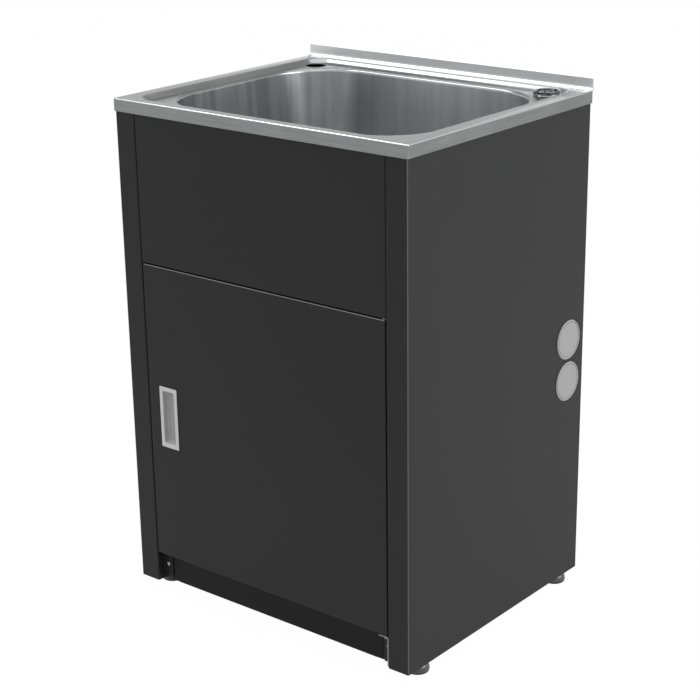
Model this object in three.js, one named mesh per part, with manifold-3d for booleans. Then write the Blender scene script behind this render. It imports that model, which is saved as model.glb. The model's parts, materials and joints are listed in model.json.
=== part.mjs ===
// Utility laundry sink: a stainless steel trough on a folded-steel cabinet.
//
// Units are millimetres. The origin is the centre of the footprint on the floor,
// +X is to the right as seen from the front, the front faces -Y and +Z is up.
// Every sub-part is one closed, named mesh in one scene graph.

import * as THREE from 'three';
import { mergeVertices } from 'three/addons/utils/BufferGeometryUtils.js';
import Module from 'manifold-3d';

const wasm = await Module();
wasm.setup();

// ---------------------------------------------------------------------------
// Driving dimensions
// ---------------------------------------------------------------------------

// Overall size of the trough's deck and where it stands above the floor.
const deckWidth = 600;
const deckDepth = 500;
const deckHeight = 877;
const footHeight = 20;

// Sheet thicknesses, and the fits that keep neighbouring pieces apart.
const steelSheet = 1;
const troughSheet = 1;
const seatGap = 0.3;
const lipClearance = 1.2;
const troughClearance = 2;
const sheetBend = 1;
const edgeBevel = 1;

// Trough: folded lip, flat rim, pressed recess, bowl and upstand.
const lipDepth = 21;
const lipCornerRadius = 3;
const rimEdgeReach = 2;
const rimSideWidth = 26;
const rimFrontWidth = 20;
const rimBackWidth = 14;
const recessDepth = 7.5;
const recessSlope = 7;
const recessCornerRadius = 35;
const recessBendReach = 2.5;
const bowlSideMargin = 46;
const bowlFrontMargin = 45;
const bowlBackMargin = 47;
const bowlFrontRadius = 98;
const bowlBackRadius = 105;
const bowlEdgeReach = 5;
const bowlDepth = 235;
const bowlDraft = 8;
const bowlBottomReach = 38;
const floorFall = 4;
const upstandHeight = 20;
const upstandThickness = 2.2;
const upstandFillet = 6;

// Tap hole in the rear left corner and drain-hose bypass in the rear right one.
const tapHoleRadius = 17.5;
const tapHoleSideInset = 54;
const tapHoleBackInset = 51;
const bypassSideClearance = 2.5;
const bypassBackClearance = 3.5;
const bypassFlangeLap = 3;
const bypassFlangeThickness = 2.5;
const bypassBossRadius = 19.5;
const bypassBossHeight = 8.5;
const bypassRingWidth = 3.5;
const bypassBoreRadius = 11;
const bypassShankWall = 2;
const bypassShankLength = 48;
const bypassLugRadius = 3.5;
const bypassLugHeight = 6;
const bypassLugReach = 0.5;
const bypassLugTurn = THREE.MathUtils.degToRad(202);
const knobNeckRatio = 0.6;
const bypassNutWidth = 9;
const bypassNutHeight = 8;
const plugThickness = 4;
const plugSink = 3;
const plugKnobRadius = 3;
const plugKnobHeight = 3;
const plugKnobOffset = 7.5;
const plugKnobTurn = THREE.MathUtils.degToRad(51);

// Basket waste in the bowl's floor, and the tee that hangs under it.
const wasteRecessMargin = 5;
const wasteRecessDepth = 4;
const wasteHoleClearance = 3;
const wasteFlangeWidth = 15;
const wasteWall = 1.2;
const wasteCupRadius = 40;
const wasteCupDepth = 40;
const wasteOutletRadius = 25;
const wasteOutletLength = 28;
const washerThickness = 3;
const wasteNutThickness = 9;
const wasteNutWidth = 11;
const basketWall = 1;
const basketClearance = 2;
const basketRimWidth = 3;
const basketDepth = 26;
const basketHoleRadius = 4;
const basketHoleCount = 6;
const basketPostRadius = 3;
const basketKnobRadius = 9;
const teeWall = 3;
const teeLength = 100;
const teeOverlap = 20;
const teeInletReach = 58;
const bypassPipeRadius = 12.5;
const bypassPipeWall = 2;
const bypassPipeEntry = 18;
const bypassPipeFall = THREE.MathUtils.degToRad(8);
const bypassPipeBend = 60;

// Cabinet: folded side panels with front stiles and door rebates.
const stileWidth = 41;
const rebateDepth = 16;
const rebateWidth = 20;
const rearReturnWidth = 25;
const topFlangeWidth = 14;
const bottomFlangeWidth = 42;
const flangeEndInset = 20;
const flangeRootHeight = 3;
const panelGap = 0.3;
const kickHeight = 54;
const kickFlange = 12;
const basePanelFlange = 14;
const pipeCutoutWidth = 220;
const pipeCutoutDepth = 110;
const pipeCutoutRadius = 15;
const pipeCutoutRearMargin = 16;
const railUpperHeight = 100;
const railLowerHeight = 130;
const railFlange = 8;

// Door: outer skin, inner liner, recessed pull, pivots and magnetic catch.
const doorHeight = 529;
const doorSideGap = 2;
const doorTopGap = 2.5;
const doorKickGap = 2;
const doorBackGap = 2;
const doorEdgeReach = 1.5;
const linerClearance = 0.7;
const pivotEdgeMargin = 2;
const pivotPinRadius = 2;
const pivotPinHeadRadius = 3;
const pivotPinHeadHeight = 3;
const pivotPinReach = 12;
const bushWall = 1;
const bushCollarRadius = 4.6;
const bushCollarHeight = 1.2;
const bushBarrelLength = 9;
const bracketThickness = 2;
const bracketTabLength = 19.5;
const bracketEndClearance = 2;
const bracketSideClearance = 1.5;
const bracketScrewPitch = 22;
const bracketScrewCount = 2;
const pullWidth = 40;
const pullHeight = 110;
const pullFlangeThickness = 1.5;
const pullFlangeMargin = 5;
const pullCornerRadius = 4;
const pullRimWidth = 8.25;
const pullPocketDepth = 8;
const pullSideTaper = 2;
const pullEndTaper = 6;
const pullBackWall = 1.5;
const pullDrop = 1;
const pullEdgeInset = 25.3;
const catchWidth = 14;
const catchHeight = 40;
const catchDepth = 15;
const catchEarWidth = 17;
const catchEarThickness = 2;
const catchDrop = 25;
const magnetWidth = 8;
const magnetHeight = 30;
const magnetDepth = 6;
const magnetProud = 1.5;

// Hose holes in both side panels, with their push-in caps.
const hoseHoleRadius = 31;
const hoseHoleRearInset = 48.8;
const hoseHoleUpperZ = 461.5;
const capSpacing = 5.5;
const capFlangeLap = 3.5;
const capFaceThickness = 1.1;
const capRimHeight = 1.9;
const capRimWidth = 3.5;
const capSkirtWall = 2.4;
const capSkirtLength = 12;
const capSlotWidth = 7;
const capSlotCount = 4;

// Adjustable feet and their nuts.
const footSideInset = 22.8;
const footFrontInset = 53.8;
const footRearInset = 35.8;
const footPadRadius = 20;
const footPadEdge = 4;
const footShoulderRadius = 8;
const footStemRadius = 4.8;
const footStemTop = 64;
const footNutAcross = 17;
const footNutHeight = 8;

// Screws: one pan-headed size everywhere.
const screwHeadRadius = 3.8;
const screwHeadHeight = 1.9;
const screwShankRadius = 1.9;
const screwLength = 8;
const shortScrewLength = 4.8;
const screwClearance = 0.3;
const kickScrewZ = 49.5;
const railScrewInset = 12;
const railLowerScrewDrop = 32;
const upperPanelScrewRise = 138.2;

// Facets of round things.
const cornerSegments = 8;
const bendSegments = 2;
const roundSegments = 24;
const smallSegments = 12;
const screwSegments = 8;
const pipeSegments = 12;
const pipeBendSteps = 6;
const footSegments = 16;
const bypassSegments = 20;
const lobeSteps = 4;
const rimEdgeSteps = 3;
const recessBendSteps = 2;
const bowlEdgeSteps = 3;
const bowlBottomSteps = 4;
const footDomeSteps = 3;

// Limits that keep the pressing's bends and its underside in shape.
const bendShareLimit = 0.49;
const mitreLimit = 0.5;

// ---------------------------------------------------------------------------
// Places worked out from the driving dimensions
// ---------------------------------------------------------------------------

const deckHalfWidth = deckWidth / 2;
const deckHalfDepth = deckDepth / 2;
const lipBottomZ = deckHeight - lipDepth;
const ledgeZ = deckHeight - recessDepth;
const bowlFloorZ = ledgeZ - bowlDepth;
const drainRimZ = bowlFloorZ - floorFall;
const wasteSeatZ = drainRimZ - wasteRecessDepth;
const wasteHoleRadius = wasteCupRadius + wasteHoleClearance;
const wasteFlangeRadius = wasteCupRadius + wasteFlangeWidth;
const wasteRecessRadius = wasteFlangeRadius + wasteRecessMargin;
const bowlHalfWidth = deckHalfWidth - bowlSideMargin;
const bowlFrontY = -deckHalfDepth + bowlFrontMargin;
const bowlBackY = deckHalfDepth - bowlBackMargin;
const bowlCentreY = (bowlFrontY + bowlBackY) / 2;
const tapHoleX = -deckHalfWidth + tapHoleSideInset;
const tapHoleY = deckHalfDepth - tapHoleBackInset;
const bypassFlangeRadius = bypassBossRadius + bypassFlangeLap;
const bypassLugOffset = bypassBossRadius + bypassLugReach;
const bypassX = deckHalfWidth - rimSideWidth - recessSlope - bypassFlangeRadius - bypassSideClearance;
const bypassY = deckHalfDepth - rimBackWidth - recessSlope - bypassFlangeRadius - bypassBackClearance;

const cabinetHalfWidth = deckHalfWidth - troughSheet - lipClearance;
const cabinetHalfDepth = deckHalfDepth - troughSheet - lipClearance;
const cabinetBottomZ = footHeight;
const cabinetTopZ = deckHeight - troughSheet - seatGap;
const frontY = -cabinetHalfDepth;
const rearY = cabinetHalfDepth;
const stileInnerX = cabinetHalfWidth - stileWidth;
const rebateY = frontY + rebateDepth;
const rebateInnerX = stileInnerX - rebateWidth;
const rebateBackY = rebateY + steelSheet;
const wallInnerX = cabinetHalfWidth - steelSheet;
const innerHalfWidth = wallInnerX - seatGap;
const railHalfWidth = innerHalfWidth - sheetBend;
const hoseHoleY = rearY - hoseHoleRearInset;
const capFlangeRadius = hoseHoleRadius + capFlangeLap;
const hoseHolePitch = 2 * capFlangeRadius + capSpacing;
const footX = cabinetHalfWidth - footSideInset;
const footFrontY = frontY + footFrontInset;
const footRearY = rearY - footRearInset;

const kickTopZ = cabinetBottomZ + kickHeight;
const kickTabY = rebateBackY + seatGap;
const basePanelFrontY = kickTabY + steelSheet + seatGap;
const railOuterY = rearY - steelSheet - seatGap;
const basePanelRearY = railOuterY - steelSheet - seatGap;

const doorBottomZ = kickTopZ + doorKickGap;
const doorTopZ = doorBottomZ + doorHeight;
const doorHalfWidth = stileInnerX - doorSideGap;
const doorThickness = rebateDepth - doorBackGap;
const doorBackY = frontY + doorThickness;
const pivotInset = pivotPinHeadRadius + pivotEdgeMargin;
const pivotX = doorHalfWidth - pivotInset;
const pivotY = frontY + pivotInset;
const upperPanelBottomZ = doorTopZ + doorTopGap;
const upperPanelHalfWidth = stileInnerX - panelGap;
const upperPanelDepth = rebateDepth - sheetBend - seatGap;
const bushOuterRadius = pivotPinRadius + seatGap + bushWall;
const bushHoleRadius = bushOuterRadius + seatGap;
const linerFlange = doorThickness - pivotInset - bushOuterRadius - linerClearance;
const bracketLegLength = kickHeight - bracketEndClearance;
const bracketDepth = rebateDepth - 2 * bracketSideClearance;
const bracketSetback = rebateDepth / 2 - pivotInset;

// ---------------------------------------------------------------------------
// Finishes
// ---------------------------------------------------------------------------

function finish(color, roughness, metalness) {
  return new THREE.MeshStandardMaterial({ color, roughness, metalness, flatShading: true });
}

const finishes = {
  powderCoat: finish(0x323335, 0.55, 0.1),
  brushedSteel: finish(0xb4b6b8, 0.35, 0.9),
  chrome: finish(0xd4d6d8, 0.12, 1),
  zinc: finish(0xc2c4c6, 0.4, 0.85),
  greyPlastic: finish(0xb4b5b4, 0.5, 0),
  whitePlastic: finish(0xe6e6e2, 0.5, 0),
  darkPlastic: finish(0x1e1f20, 0.35, 0),
  rubber: finish(0x262626, 0.85, 0),
  magnet: finish(0x3c3a38, 0.6, 0.3),
};

// ---------------------------------------------------------------------------
// Solids: closed geometries in, closed geometries out
// ---------------------------------------------------------------------------

/** Turns a closed geometry into a solid that can be joined and cut. */
function toSolid(geometry) {
  const bare = geometry.clone();
  bare.deleteAttribute('normal');
  bare.deleteAttribute('uv');
  const merged = mergeVertices(bare, 1e-4);
  const index = merged.index.array;
  const triangles = [];
  for (let i = 0; i < index.length; i += 3) {
    const [a, b, c] = [index[i], index[i + 1], index[i + 2]];
    if (a !== b && b !== c && c !== a) {
      triangles.push(a, b, c);
    }
  }
  return new wasm.Manifold(new wasm.Mesh({
    numProp: 3,
    vertProperties: new Float32Array(merged.attributes.position.array),
    triVerts: new Uint32Array(triangles),
  }));
}

/** Turns a solid back into a geometry. */
function toGeometry(solid) {
  const mesh = solid.getMesh();
  const geometry = new THREE.BufferGeometry();
  geometry.setAttribute('position', new THREE.BufferAttribute(new Float32Array(mesh.vertProperties), 3));
  geometry.setIndex(new THREE.BufferAttribute(new Uint32Array(mesh.triVerts), 1));
  geometry.computeVertexNormals();
  return geometry;
}

/** The first geometry with the others joined to it. */
function join(first, ...others) {
  return toGeometry(others.reduce((solid, other) => solid.add(toSolid(other)), toSolid(first)));
}

/** The first geometry with the others cut out of it. */
function cut(first, ...tools) {
  return toGeometry(tools.reduce((solid, tool) => solid.subtract(toSolid(tool)), toSolid(first)));
}

/** Extrudes a shape drawn in XY from one height to another. */
function extrudeZ(shape, bottom, top, curveSegments = cornerSegments) {
  const depth = top - bottom;
  const geometry = new THREE.ExtrudeGeometry(shape, { depth, bevelEnabled: false, curveSegments });
  return geometry.translate(0, 0, bottom);
}

/** Extrudes a shape drawn in YZ (first axis Y, second axis Z) along X. */
function extrudeX(shape, low, high, curveSegments = cornerSegments) {
  const turn = new THREE.Matrix4().makeBasis(
    new THREE.Vector3(0, 1, 0),
    new THREE.Vector3(0, 0, 1),
    new THREE.Vector3(1, 0, 0),
  );
  return extrudeZ(shape, low, high, curveSegments).applyMatrix4(turn);
}

/** Extrudes a shape drawn in XZ (first axis X, second axis Z) along Y. */
function extrudeY(shape, low, high, curveSegments = cornerSegments) {
  return extrudeZ(shape, -high, -low, curveSegments).rotateX(Math.PI / 2);
}

/** A box given by its lowest and highest corner. */
function block(x0, y0, z0, x1, y1, z1) {
  const geometry = new THREE.BoxGeometry(x1 - x0, y1 - y0, z1 - z0);
  return geometry.translate((x0 + x1) / 2, (y0 + y1) / 2, (z0 + z1) / 2);
}

/** A box on one side (-1 or 1) of the middle plane, given by its distances from that plane. */
function sideBlock(side, inner, y0, z0, outer, y1, z1) {
  return side > 0 ? block(inner, y0, z0, outer, y1, z1) : block(-outer, y0, z0, -inner, y1, z1);
}

/** A cylinder along Z. */
function rod(radius, bottom, top, segments = roundSegments) {
  const geometry = new THREE.CylinderGeometry(radius, radius, top - bottom, segments);
  return geometry.rotateX(Math.PI / 2).translate(0, 0, (bottom + top) / 2);
}

/** Revolves a closed outline of [radius, height] points round the Z axis. */
function revolve(outline, segments = roundSegments) {
  const points = outline.map(([radius, height]) => new THREE.Vector2(Math.max(radius, 0), height));
  if (THREE.ShapeUtils.isClockWise(points)) {
    points.reverse();
  }
  points.push(points[0].clone());
  return toGeometry(toSolid(new THREE.LatheGeometry(points, segments).rotateX(Math.PI / 2)));
}

/** A rectangle with rounded corners, centred on a point. */
function roundedRectangle(width, height, radius, centreX = 0, centreY = 0) {
  const left = centreX - width / 2;
  const right = centreX + width / 2;
  const bottom = centreY - height / 2;
  const top = centreY + height / 2;
  const shape = new THREE.Shape();
  shape.moveTo(left + radius, bottom);
  shape.lineTo(right - radius, bottom);
  shape.absarc(right - radius, bottom + radius, radius, -Math.PI / 2, 0);
  shape.lineTo(right, top - radius);
  shape.absarc(right - radius, top - radius, radius, 0, Math.PI / 2);
  shape.lineTo(left + radius, top);
  shape.absarc(left + radius, top - radius, radius, Math.PI / 2, Math.PI);
  shape.lineTo(left, bottom + radius);
  shape.absarc(left + radius, bottom + radius, radius, Math.PI, 1.5 * Math.PI);
  return shape;
}

/**
 * The section of a folded sheet. The points run along its outer face, the sheet
 * lies on the right-hand side of that line (left-hand if handed is -1), and
 * every fold has the same inner bend radius.
 */
function foldedSection(points, thickness, handed = 1) {
  const line = points.map(([x, y]) => new THREE.Vector2(x, y));
  const outer = [];
  const inner = [];
  const normalOf = (from, to) => {
    const along = to.clone().sub(from).normalize();
    return new THREE.Vector2(along.y, -along.x).multiplyScalar(handed);
  };
  line.forEach((point, i) => {
    if (i === 0 || i === line.length - 1) {
      const normal = i === 0 ? normalOf(line[0], line[1]) : normalOf(line[i - 1], line[i]);
      outer.push(point.clone());
      inner.push(point.clone().addScaledVector(normal, thickness));
      return;
    }
    const before = line[i - 1].clone().sub(point).normalize();
    const after = line[i + 1].clone().sub(point).normalize();
    const half = Math.acos(THREE.MathUtils.clamp(before.dot(after), -1, 1)) / 2;
    const towardsCentre = before.clone().add(after).normalize();
    const normalIn = normalOf(line[i - 1], point);
    const normalOut = normalOf(point, line[i + 1]);
    const foldsInward = towardsCentre.dot(normalIn) > 0;
    const faceRadius = foldsInward ? sheetBend + thickness : sheetBend;
    const backRadius = foldsInward ? sheetBend : sheetBend + thickness;
    const centre = point.clone().addScaledVector(towardsCentre, faceRadius / Math.sin(half));
    const side = foldsInward ? -1 : 1;
    for (let k = 0; k <= bendSegments; k += 1) {
      const direction = normalIn.clone().lerp(normalOut, k / bendSegments).normalize().multiplyScalar(side);
      outer.push(centre.clone().addScaledVector(direction, faceRadius));
      inner.push(centre.clone().addScaledVector(direction, backRadius));
    }
  });
  return new THREE.Shape([...outer, ...inner.reverse()]);
}

/** Skins a loop of rings that have the same number of points. */
function skin(rings, closed) {
  const count = rings[0].length;
  const positions = rings.flat().flatMap((point) => [point.x, point.y, point.z]);
  const index = [];
  const spans = closed ? rings.length : rings.length - 1;
  for (let i = 0; i < spans; i += 1) {
    const low = i * count;
    const high = ((i + 1) % rings.length) * count;
    for (let k = 0; k < count; k += 1) {
      const next = (k + 1) % count;
      index.push(low + k, low + next, high + next, low + k, high + next, high + k);
    }
  }
  if (!closed) {
    for (let k = 1; k < count - 1; k += 1) {
      const last = (rings.length - 1) * count;
      index.push(0, k + 1, k, last, last + k, last + k + 1);
    }
  }
  const geometry = new THREE.BufferGeometry();
  geometry.setAttribute('position', new THREE.Float32BufferAttribute(positions, 3));
  geometry.setIndex(index);
  return geometry;
}

/**
 * A rounded rectangle at one height, as used for every level of the trough:
 * half width, front and back edge, front and back corner radius, height.
 */
function level(half, front, back, frontRadius, backRadius, z) {
  return { half, front, back, frontRadius, backRadius, z };
}

/** Blends the sizes of levels, weight by weight. */
function blendLevels(levels, weights) {
  const sum = (key) => levels.reduce((total, item, i) => total + item[key] * weights[i], 0);
  return level(sum('half'), sum('front'), sum('back'), sum('frontRadius'), sum('backRadius'), sum('z'));
}

/** A level grown evenly all round and set at another height. */
function growLevel(item, grow, z) {
  return level(
    item.half + grow,
    item.front - grow,
    item.back + grow,
    Math.max(item.frontRadius + grow, seatGap),
    Math.max(item.backRadius + grow, seatGap),
    z,
  );
}

/** The points of a level, the same number at every level. */
function levelRing({ half, front, back, frontRadius, backRadius, z }) {
  const corners = [
    [half - backRadius, back - backRadius, backRadius],
    [-half + backRadius, back - backRadius, backRadius],
    [-half + frontRadius, front + frontRadius, frontRadius],
    [half - frontRadius, front + frontRadius, frontRadius],
  ];
  return corners.flatMap(([x, y, radius], quarter) => (
    Array.from({ length: cornerSegments + 1 }, (_, k) => {
      const angle = (quarter + k / cornerSegments) * Math.PI / 2;
      return new THREE.Vector3(x + radius * Math.cos(angle), y + radius * Math.sin(angle), z);
    })
  ));
}

/** Rounds the corner levels of a pressed sheet, each with its own reach. */
function roundLevels(corners) {
  const towards = (at, other, reach) => {
    const distance = Math.hypot(other.half - at.half, other.z - at.z);
    const weight = Math.min(reach / distance, bendShareLimit);
    return growLevel(at, (other.half - at.half) * weight, at.z + (other.z - at.z) * weight);
  };
  return corners.flatMap(({ at, reach, steps }, i) => {
    if (!reach) {
      return [at];
    }
    const start = towards(at, corners[i - 1].at, reach);
    const end = towards(at, corners[i + 1].at, reach);
    return Array.from({ length: steps + 1 }, (_, k) => {
      const t = k / steps;
      return blendLevels([start, at, end], [(1 - t) ** 2, 2 * t * (1 - t), t ** 2]);
    });
  });
}

/** The underside of a pressed sheet: every level moved in by the thickness. */
function offsetLevels(levels, thickness) {
  const slopeNormal = (a, b) => {
    const run = new THREE.Vector2(a.half - b.half, b.z - a.z).normalize();
    return new THREE.Vector2(-run.y, run.x);
  };
  return levels.map((item, i) => {
    const before = slopeNormal(levels[Math.max(i - 1, 0)], levels[Math.max(i, 1)]);
    const last = levels.length - 1;
    const after = slopeNormal(levels[Math.min(i, last - 1)], levels[Math.min(i + 1, last)]);
    const normal = before.clone().add(after).normalize();
    const mitre = thickness / Math.max(normal.dot(after), mitreLimit);
    const grow = mitre * normal.x;
    return growLevel(item, grow, item.z - mitre * normal.y);
  });
}

/** A shallow pan of folded sheet that opens towards the back, square to Y. */
function foldedPan(halfWidth, bottom, top, front, depth) {
  const height = top - bottom;
  const middle = (top + bottom) / 2;
  const reach = doorEdgeReach;
  const outline = roundedRectangle(2 * (halfWidth - reach), height - 2 * reach, reach);
  const face = new THREE.ExtrudeGeometry(outline, {
    depth: 2 * depth,
    bevelEnabled: true,
    bevelSize: reach,
    bevelThickness: reach,
    bevelSegments: bendSegments,
    curveSegments: bendSegments,
  });
  face.rotateX(Math.PI / 2).translate(0, front + 2 * depth + reach, middle);
  const inside = block(
    -halfWidth + steelSheet,
    front + steelSheet,
    bottom + steelSheet,
    halfWidth - steelSheet,
    front + 3 * depth + 2 * reach,
    top - steelSheet,
  );
  const beyond = block(-deckWidth, front + depth, bottom - reach, deckWidth, front + 4 * depth, top + reach);
  return cut(face, inside, beyond);
}

// ---------------------------------------------------------------------------
// Trough
// ---------------------------------------------------------------------------

/** The sharp-cornered levels of the pressing, from the lip to the drain hole. */
function troughCorners() {
  const rimRadius = lipCornerRadius;
  const half = deckHalfWidth;
  const recessHalf = half - rimSideWidth;
  const recessFront = -deckHalfDepth + rimFrontWidth;
  const recessBack = deckHalfDepth - rimBackWidth;
  const slopeRadius = recessCornerRadius - recessSlope;
  const round = (radius, z) => level(radius, bowlCentreY - radius, bowlCentreY + radius, radius, radius, z);
  const ledge = level(
    recessHalf - recessSlope,
    recessFront + recessSlope,
    recessBack - recessSlope,
    slopeRadius,
    slopeRadius,
    ledgeZ,
  );
  const bowlFoot = level(
    bowlHalfWidth - bowlDraft,
    bowlFrontY + bowlDraft,
    bowlBackY - bowlDraft,
    bowlFrontRadius - bowlDraft,
    bowlBackRadius - bowlDraft,
    bowlFloorZ,
  );
  return [
    { at: level(half, -deckHalfDepth, deckHalfDepth, rimRadius, rimRadius, lipBottomZ) },
    {
      at: level(half, -deckHalfDepth, deckHalfDepth, rimRadius, rimRadius, deckHeight),
      reach: rimEdgeReach,
      steps: rimEdgeSteps,
    },
    {
      at: level(recessHalf, recessFront, recessBack, recessCornerRadius, recessCornerRadius, deckHeight),
      reach: recessBendReach,
      steps: recessBendSteps,
    },
    { at: ledge, reach: recessBendReach, steps: recessBendSteps },
    {
      at: level(bowlHalfWidth, bowlFrontY, bowlBackY, bowlFrontRadius, bowlBackRadius, ledgeZ),
      reach: bowlEdgeReach,
      steps: bowlEdgeSteps,
    },
    { at: bowlFoot, reach: bowlBottomReach, steps: bowlBottomSteps },
    { at: round(wasteRecessRadius + wasteRecessDepth, drainRimZ) },
    { at: round(wasteRecessRadius, wasteSeatZ) },
    { at: round(wasteHoleRadius, wasteSeatZ) },
  ];
}

/** The upstand along the back: a hemmed sheet with a fillet down to the rim. */
function upstand() {
  const back = deckHalfDepth;
  const face = back - upstandThickness;
  const top = deckHeight + upstandHeight;
  const hem = upstandThickness / 2;
  const root = deckHeight - troughSheet / 2;
  const shape = new THREE.Shape();
  shape.moveTo(face - upstandFillet, root);
  shape.lineTo(back, root);
  shape.lineTo(back, top - hem);
  shape.absarc(back - hem, top - hem, hem, 0, Math.PI);
  shape.lineTo(face, deckHeight + upstandFillet);
  shape.absarc(face - upstandFillet, deckHeight + upstandFillet, upstandFillet, 0, -Math.PI / 2, true);
  return extrudeX(shape, -deckHalfWidth, deckHalfWidth, bendSegments + 1);
}

function trough() {
  const face = roundLevels(troughCorners());
  const underside = offsetLevels(face, troughSheet);
  const sheet = skin([...face, ...underside.reverse()].map(levelRing), true);
  const tapHole = rod(tapHoleRadius, lipBottomZ, deckHeight).translate(tapHoleX, tapHoleY, 0);
  const bypassHole = rod(bypassBoreRadius + bypassShankWall + seatGap, lipBottomZ, deckHeight)
    .translate(bypassX, bypassY, 0);
  return cut(join(sheet, upstand()), tapHole, bypassHole);
}

// ---------------------------------------------------------------------------
// Basket waste and bypass
// ---------------------------------------------------------------------------

/** Moves a piece that was drawn round the Z axis onto the drain's axis. */
function onDrain(geometry) {
  return geometry.translate(0, bowlCentreY, wasteSeatZ);
}

const wasteOutletZ = -wasteCupDepth - wasteOutletLength;
const wasteSeatRadius = wasteCupRadius + wasteWall;

/** Flanged cup that hangs through the drain hole, with its outlet spigot. */
function wasteBody() {
  const cupInner = wasteCupRadius - wasteWall;
  const outletInner = wasteOutletRadius - wasteWall;
  const throat = wasteOutletRadius + wasteWall;
  return onDrain(revolve([
    [wasteFlangeRadius, seatGap],
    [wasteFlangeRadius, wasteWall],
    [wasteSeatRadius, wasteWall + seatGap],
    [cupInner, -wasteWall],
    [cupInner, -wasteCupDepth + wasteWall],
    [outletInner, -wasteCupDepth],
    [outletInner, wasteOutletZ],
    [wasteOutletRadius, wasteOutletZ],
    [wasteOutletRadius, -wasteCupDepth - wasteWall],
    [throat, -wasteCupDepth - wasteWall],
    [wasteCupRadius, -wasteCupDepth],
    [wasteCupRadius, seatGap],
  ]));
}

/** Rubber washer between the bowl and the backnut. */
function wasteWasher() {
  const top = -troughSheet - seatGap;
  const inner = wasteCupRadius + seatGap;
  const outer = inner + wasteNutWidth;
  const bottom = top - washerThickness;
  return onDrain(revolve([[inner, top], [outer, top], [outer, bottom], [inner, bottom]]));
}

/** A round nut with grip lugs, drawn flat and extruded. */
function lobedNut(inner, width, bottom, top, lobes) {
  const outer = inner + width;
  const shape = new THREE.Shape();
  const steps = lobes * lobeSteps;
  for (let i = 0; i < steps; i += 1) {
    const angle = (i / steps) * 2 * Math.PI;
    const radius = i % lobeSteps < lobeSteps / 2 ? outer : outer - width / 4;
    const point = [radius * Math.cos(angle), radius * Math.sin(angle)];
    if (i === 0) {
      shape.moveTo(...point);
    } else {
      shape.lineTo(...point);
    }
  }
  const hole = new THREE.Path();
  hole.absarc(0, 0, inner, 0, 2 * Math.PI);
  shape.holes.push(hole);
  return extrudeZ(shape, bottom, top, roundSegments);
}

function wasteBacknut() {
  const top = -troughSheet - 2 * seatGap - washerThickness;
  return onDrain(lobedNut(wasteCupRadius + seatGap, wasteNutWidth, top - wasteNutThickness, top, 8));
}

/** Lift-out strainer basket: flared rim, drilled floor, post and knob. */
function wasteBasket() {
  const outer = wasteCupRadius - wasteWall - basketClearance;
  const inner = outer - basketWall;
  const rim = wasteSeatRadius + basketRimWidth;
  const seat = wasteWall + 2 * seatGap;
  const floor = -basketDepth;
  const cup = revolve([
    [rim, seat],
    [rim, seat + basketWall],
    [wasteSeatRadius - basketWall, seat + basketWall],
    [inner, -basketWall],
    [inner, floor + basketWall],
    [basketPostRadius, floor + basketWall],
    [basketPostRadius, -basketKnobRadius / 2],
    [basketKnobRadius * knobNeckRatio, -basketKnobRadius / 3],
    [basketKnobRadius, 0],
    [basketKnobRadius * knobNeckRatio, basketKnobRadius / 4],
    [0, basketKnobRadius / 3],
    [0, floor],
    [outer - basketWall, floor],
    [outer, floor + basketWall],
    [outer, -basketWall],
    [wasteSeatRadius - 2 * seatGap, seat],
  ]);
  const ringRadius = (inner + basketPostRadius) / 2;
  const holes = Array.from({ length: basketHoleCount }, (_, i) => {
    const angle = (i / basketHoleCount) * 2 * Math.PI;
    return rod(basketHoleRadius, floor - basketWall, floor + 2 * basketWall, screwSegments)
      .translate(ringRadius * Math.cos(angle), ringRadius * Math.sin(angle), 0);
  });
  return onDrain(cut(cup, ...holes));
}

// Directions of the bypass pipe, from the tee's inlet up to below the bypass.
const bypassRun = new THREE.Vector2(bypassX, bypassY - bowlCentreY);
const bypassHeading = Math.atan2(bypassRun.y, bypassRun.x);
const bypassDirection = new THREE.Vector3(
  Math.cos(bypassHeading) * Math.cos(bypassPipeFall),
  Math.sin(bypassHeading) * Math.cos(bypassPipeFall),
  Math.sin(bypassPipeFall),
);
const teeTopZ = wasteSeatZ + wasteOutletZ + teeOverlap;
const teeInletZ = teeTopZ - teeLength / 2;

/** Tee under the waste: a vertical tube with a sloping inlet for the bypass. */
function wasteTee() {
  const bore = wasteOutletRadius + seatGap;
  const wall = bore + teeWall;
  const inletBore = bypassPipeRadius / Math.cos(Math.PI / pipeSegments) + seatGap;
  const lean = new THREE.Quaternion().setFromUnitVectors(new THREE.Vector3(0, 0, 1), bypassDirection);
  const inlet = (radius, reach) => rod(radius, 0, reach, pipeSegments)
    .applyQuaternion(lean)
    .translate(0, bowlCentreY, teeInletZ);
  const column = (radius, bottom, top) => rod(radius, bottom, top).translate(0, bowlCentreY, 0);
  const collar = column(wall + teeWall, teeTopZ - teeOverlap, teeTopZ);
  const tube = column(wall, teeTopZ - teeLength, teeTopZ);
  const body = join(tube, collar, inlet(inletBore + teeWall, teeInletReach));
  const through = column(bore, teeTopZ - 2 * teeLength, teeTopZ + teeLength);
  return cut(body, through, inlet(inletBore, 2 * teeInletReach));
}

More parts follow.
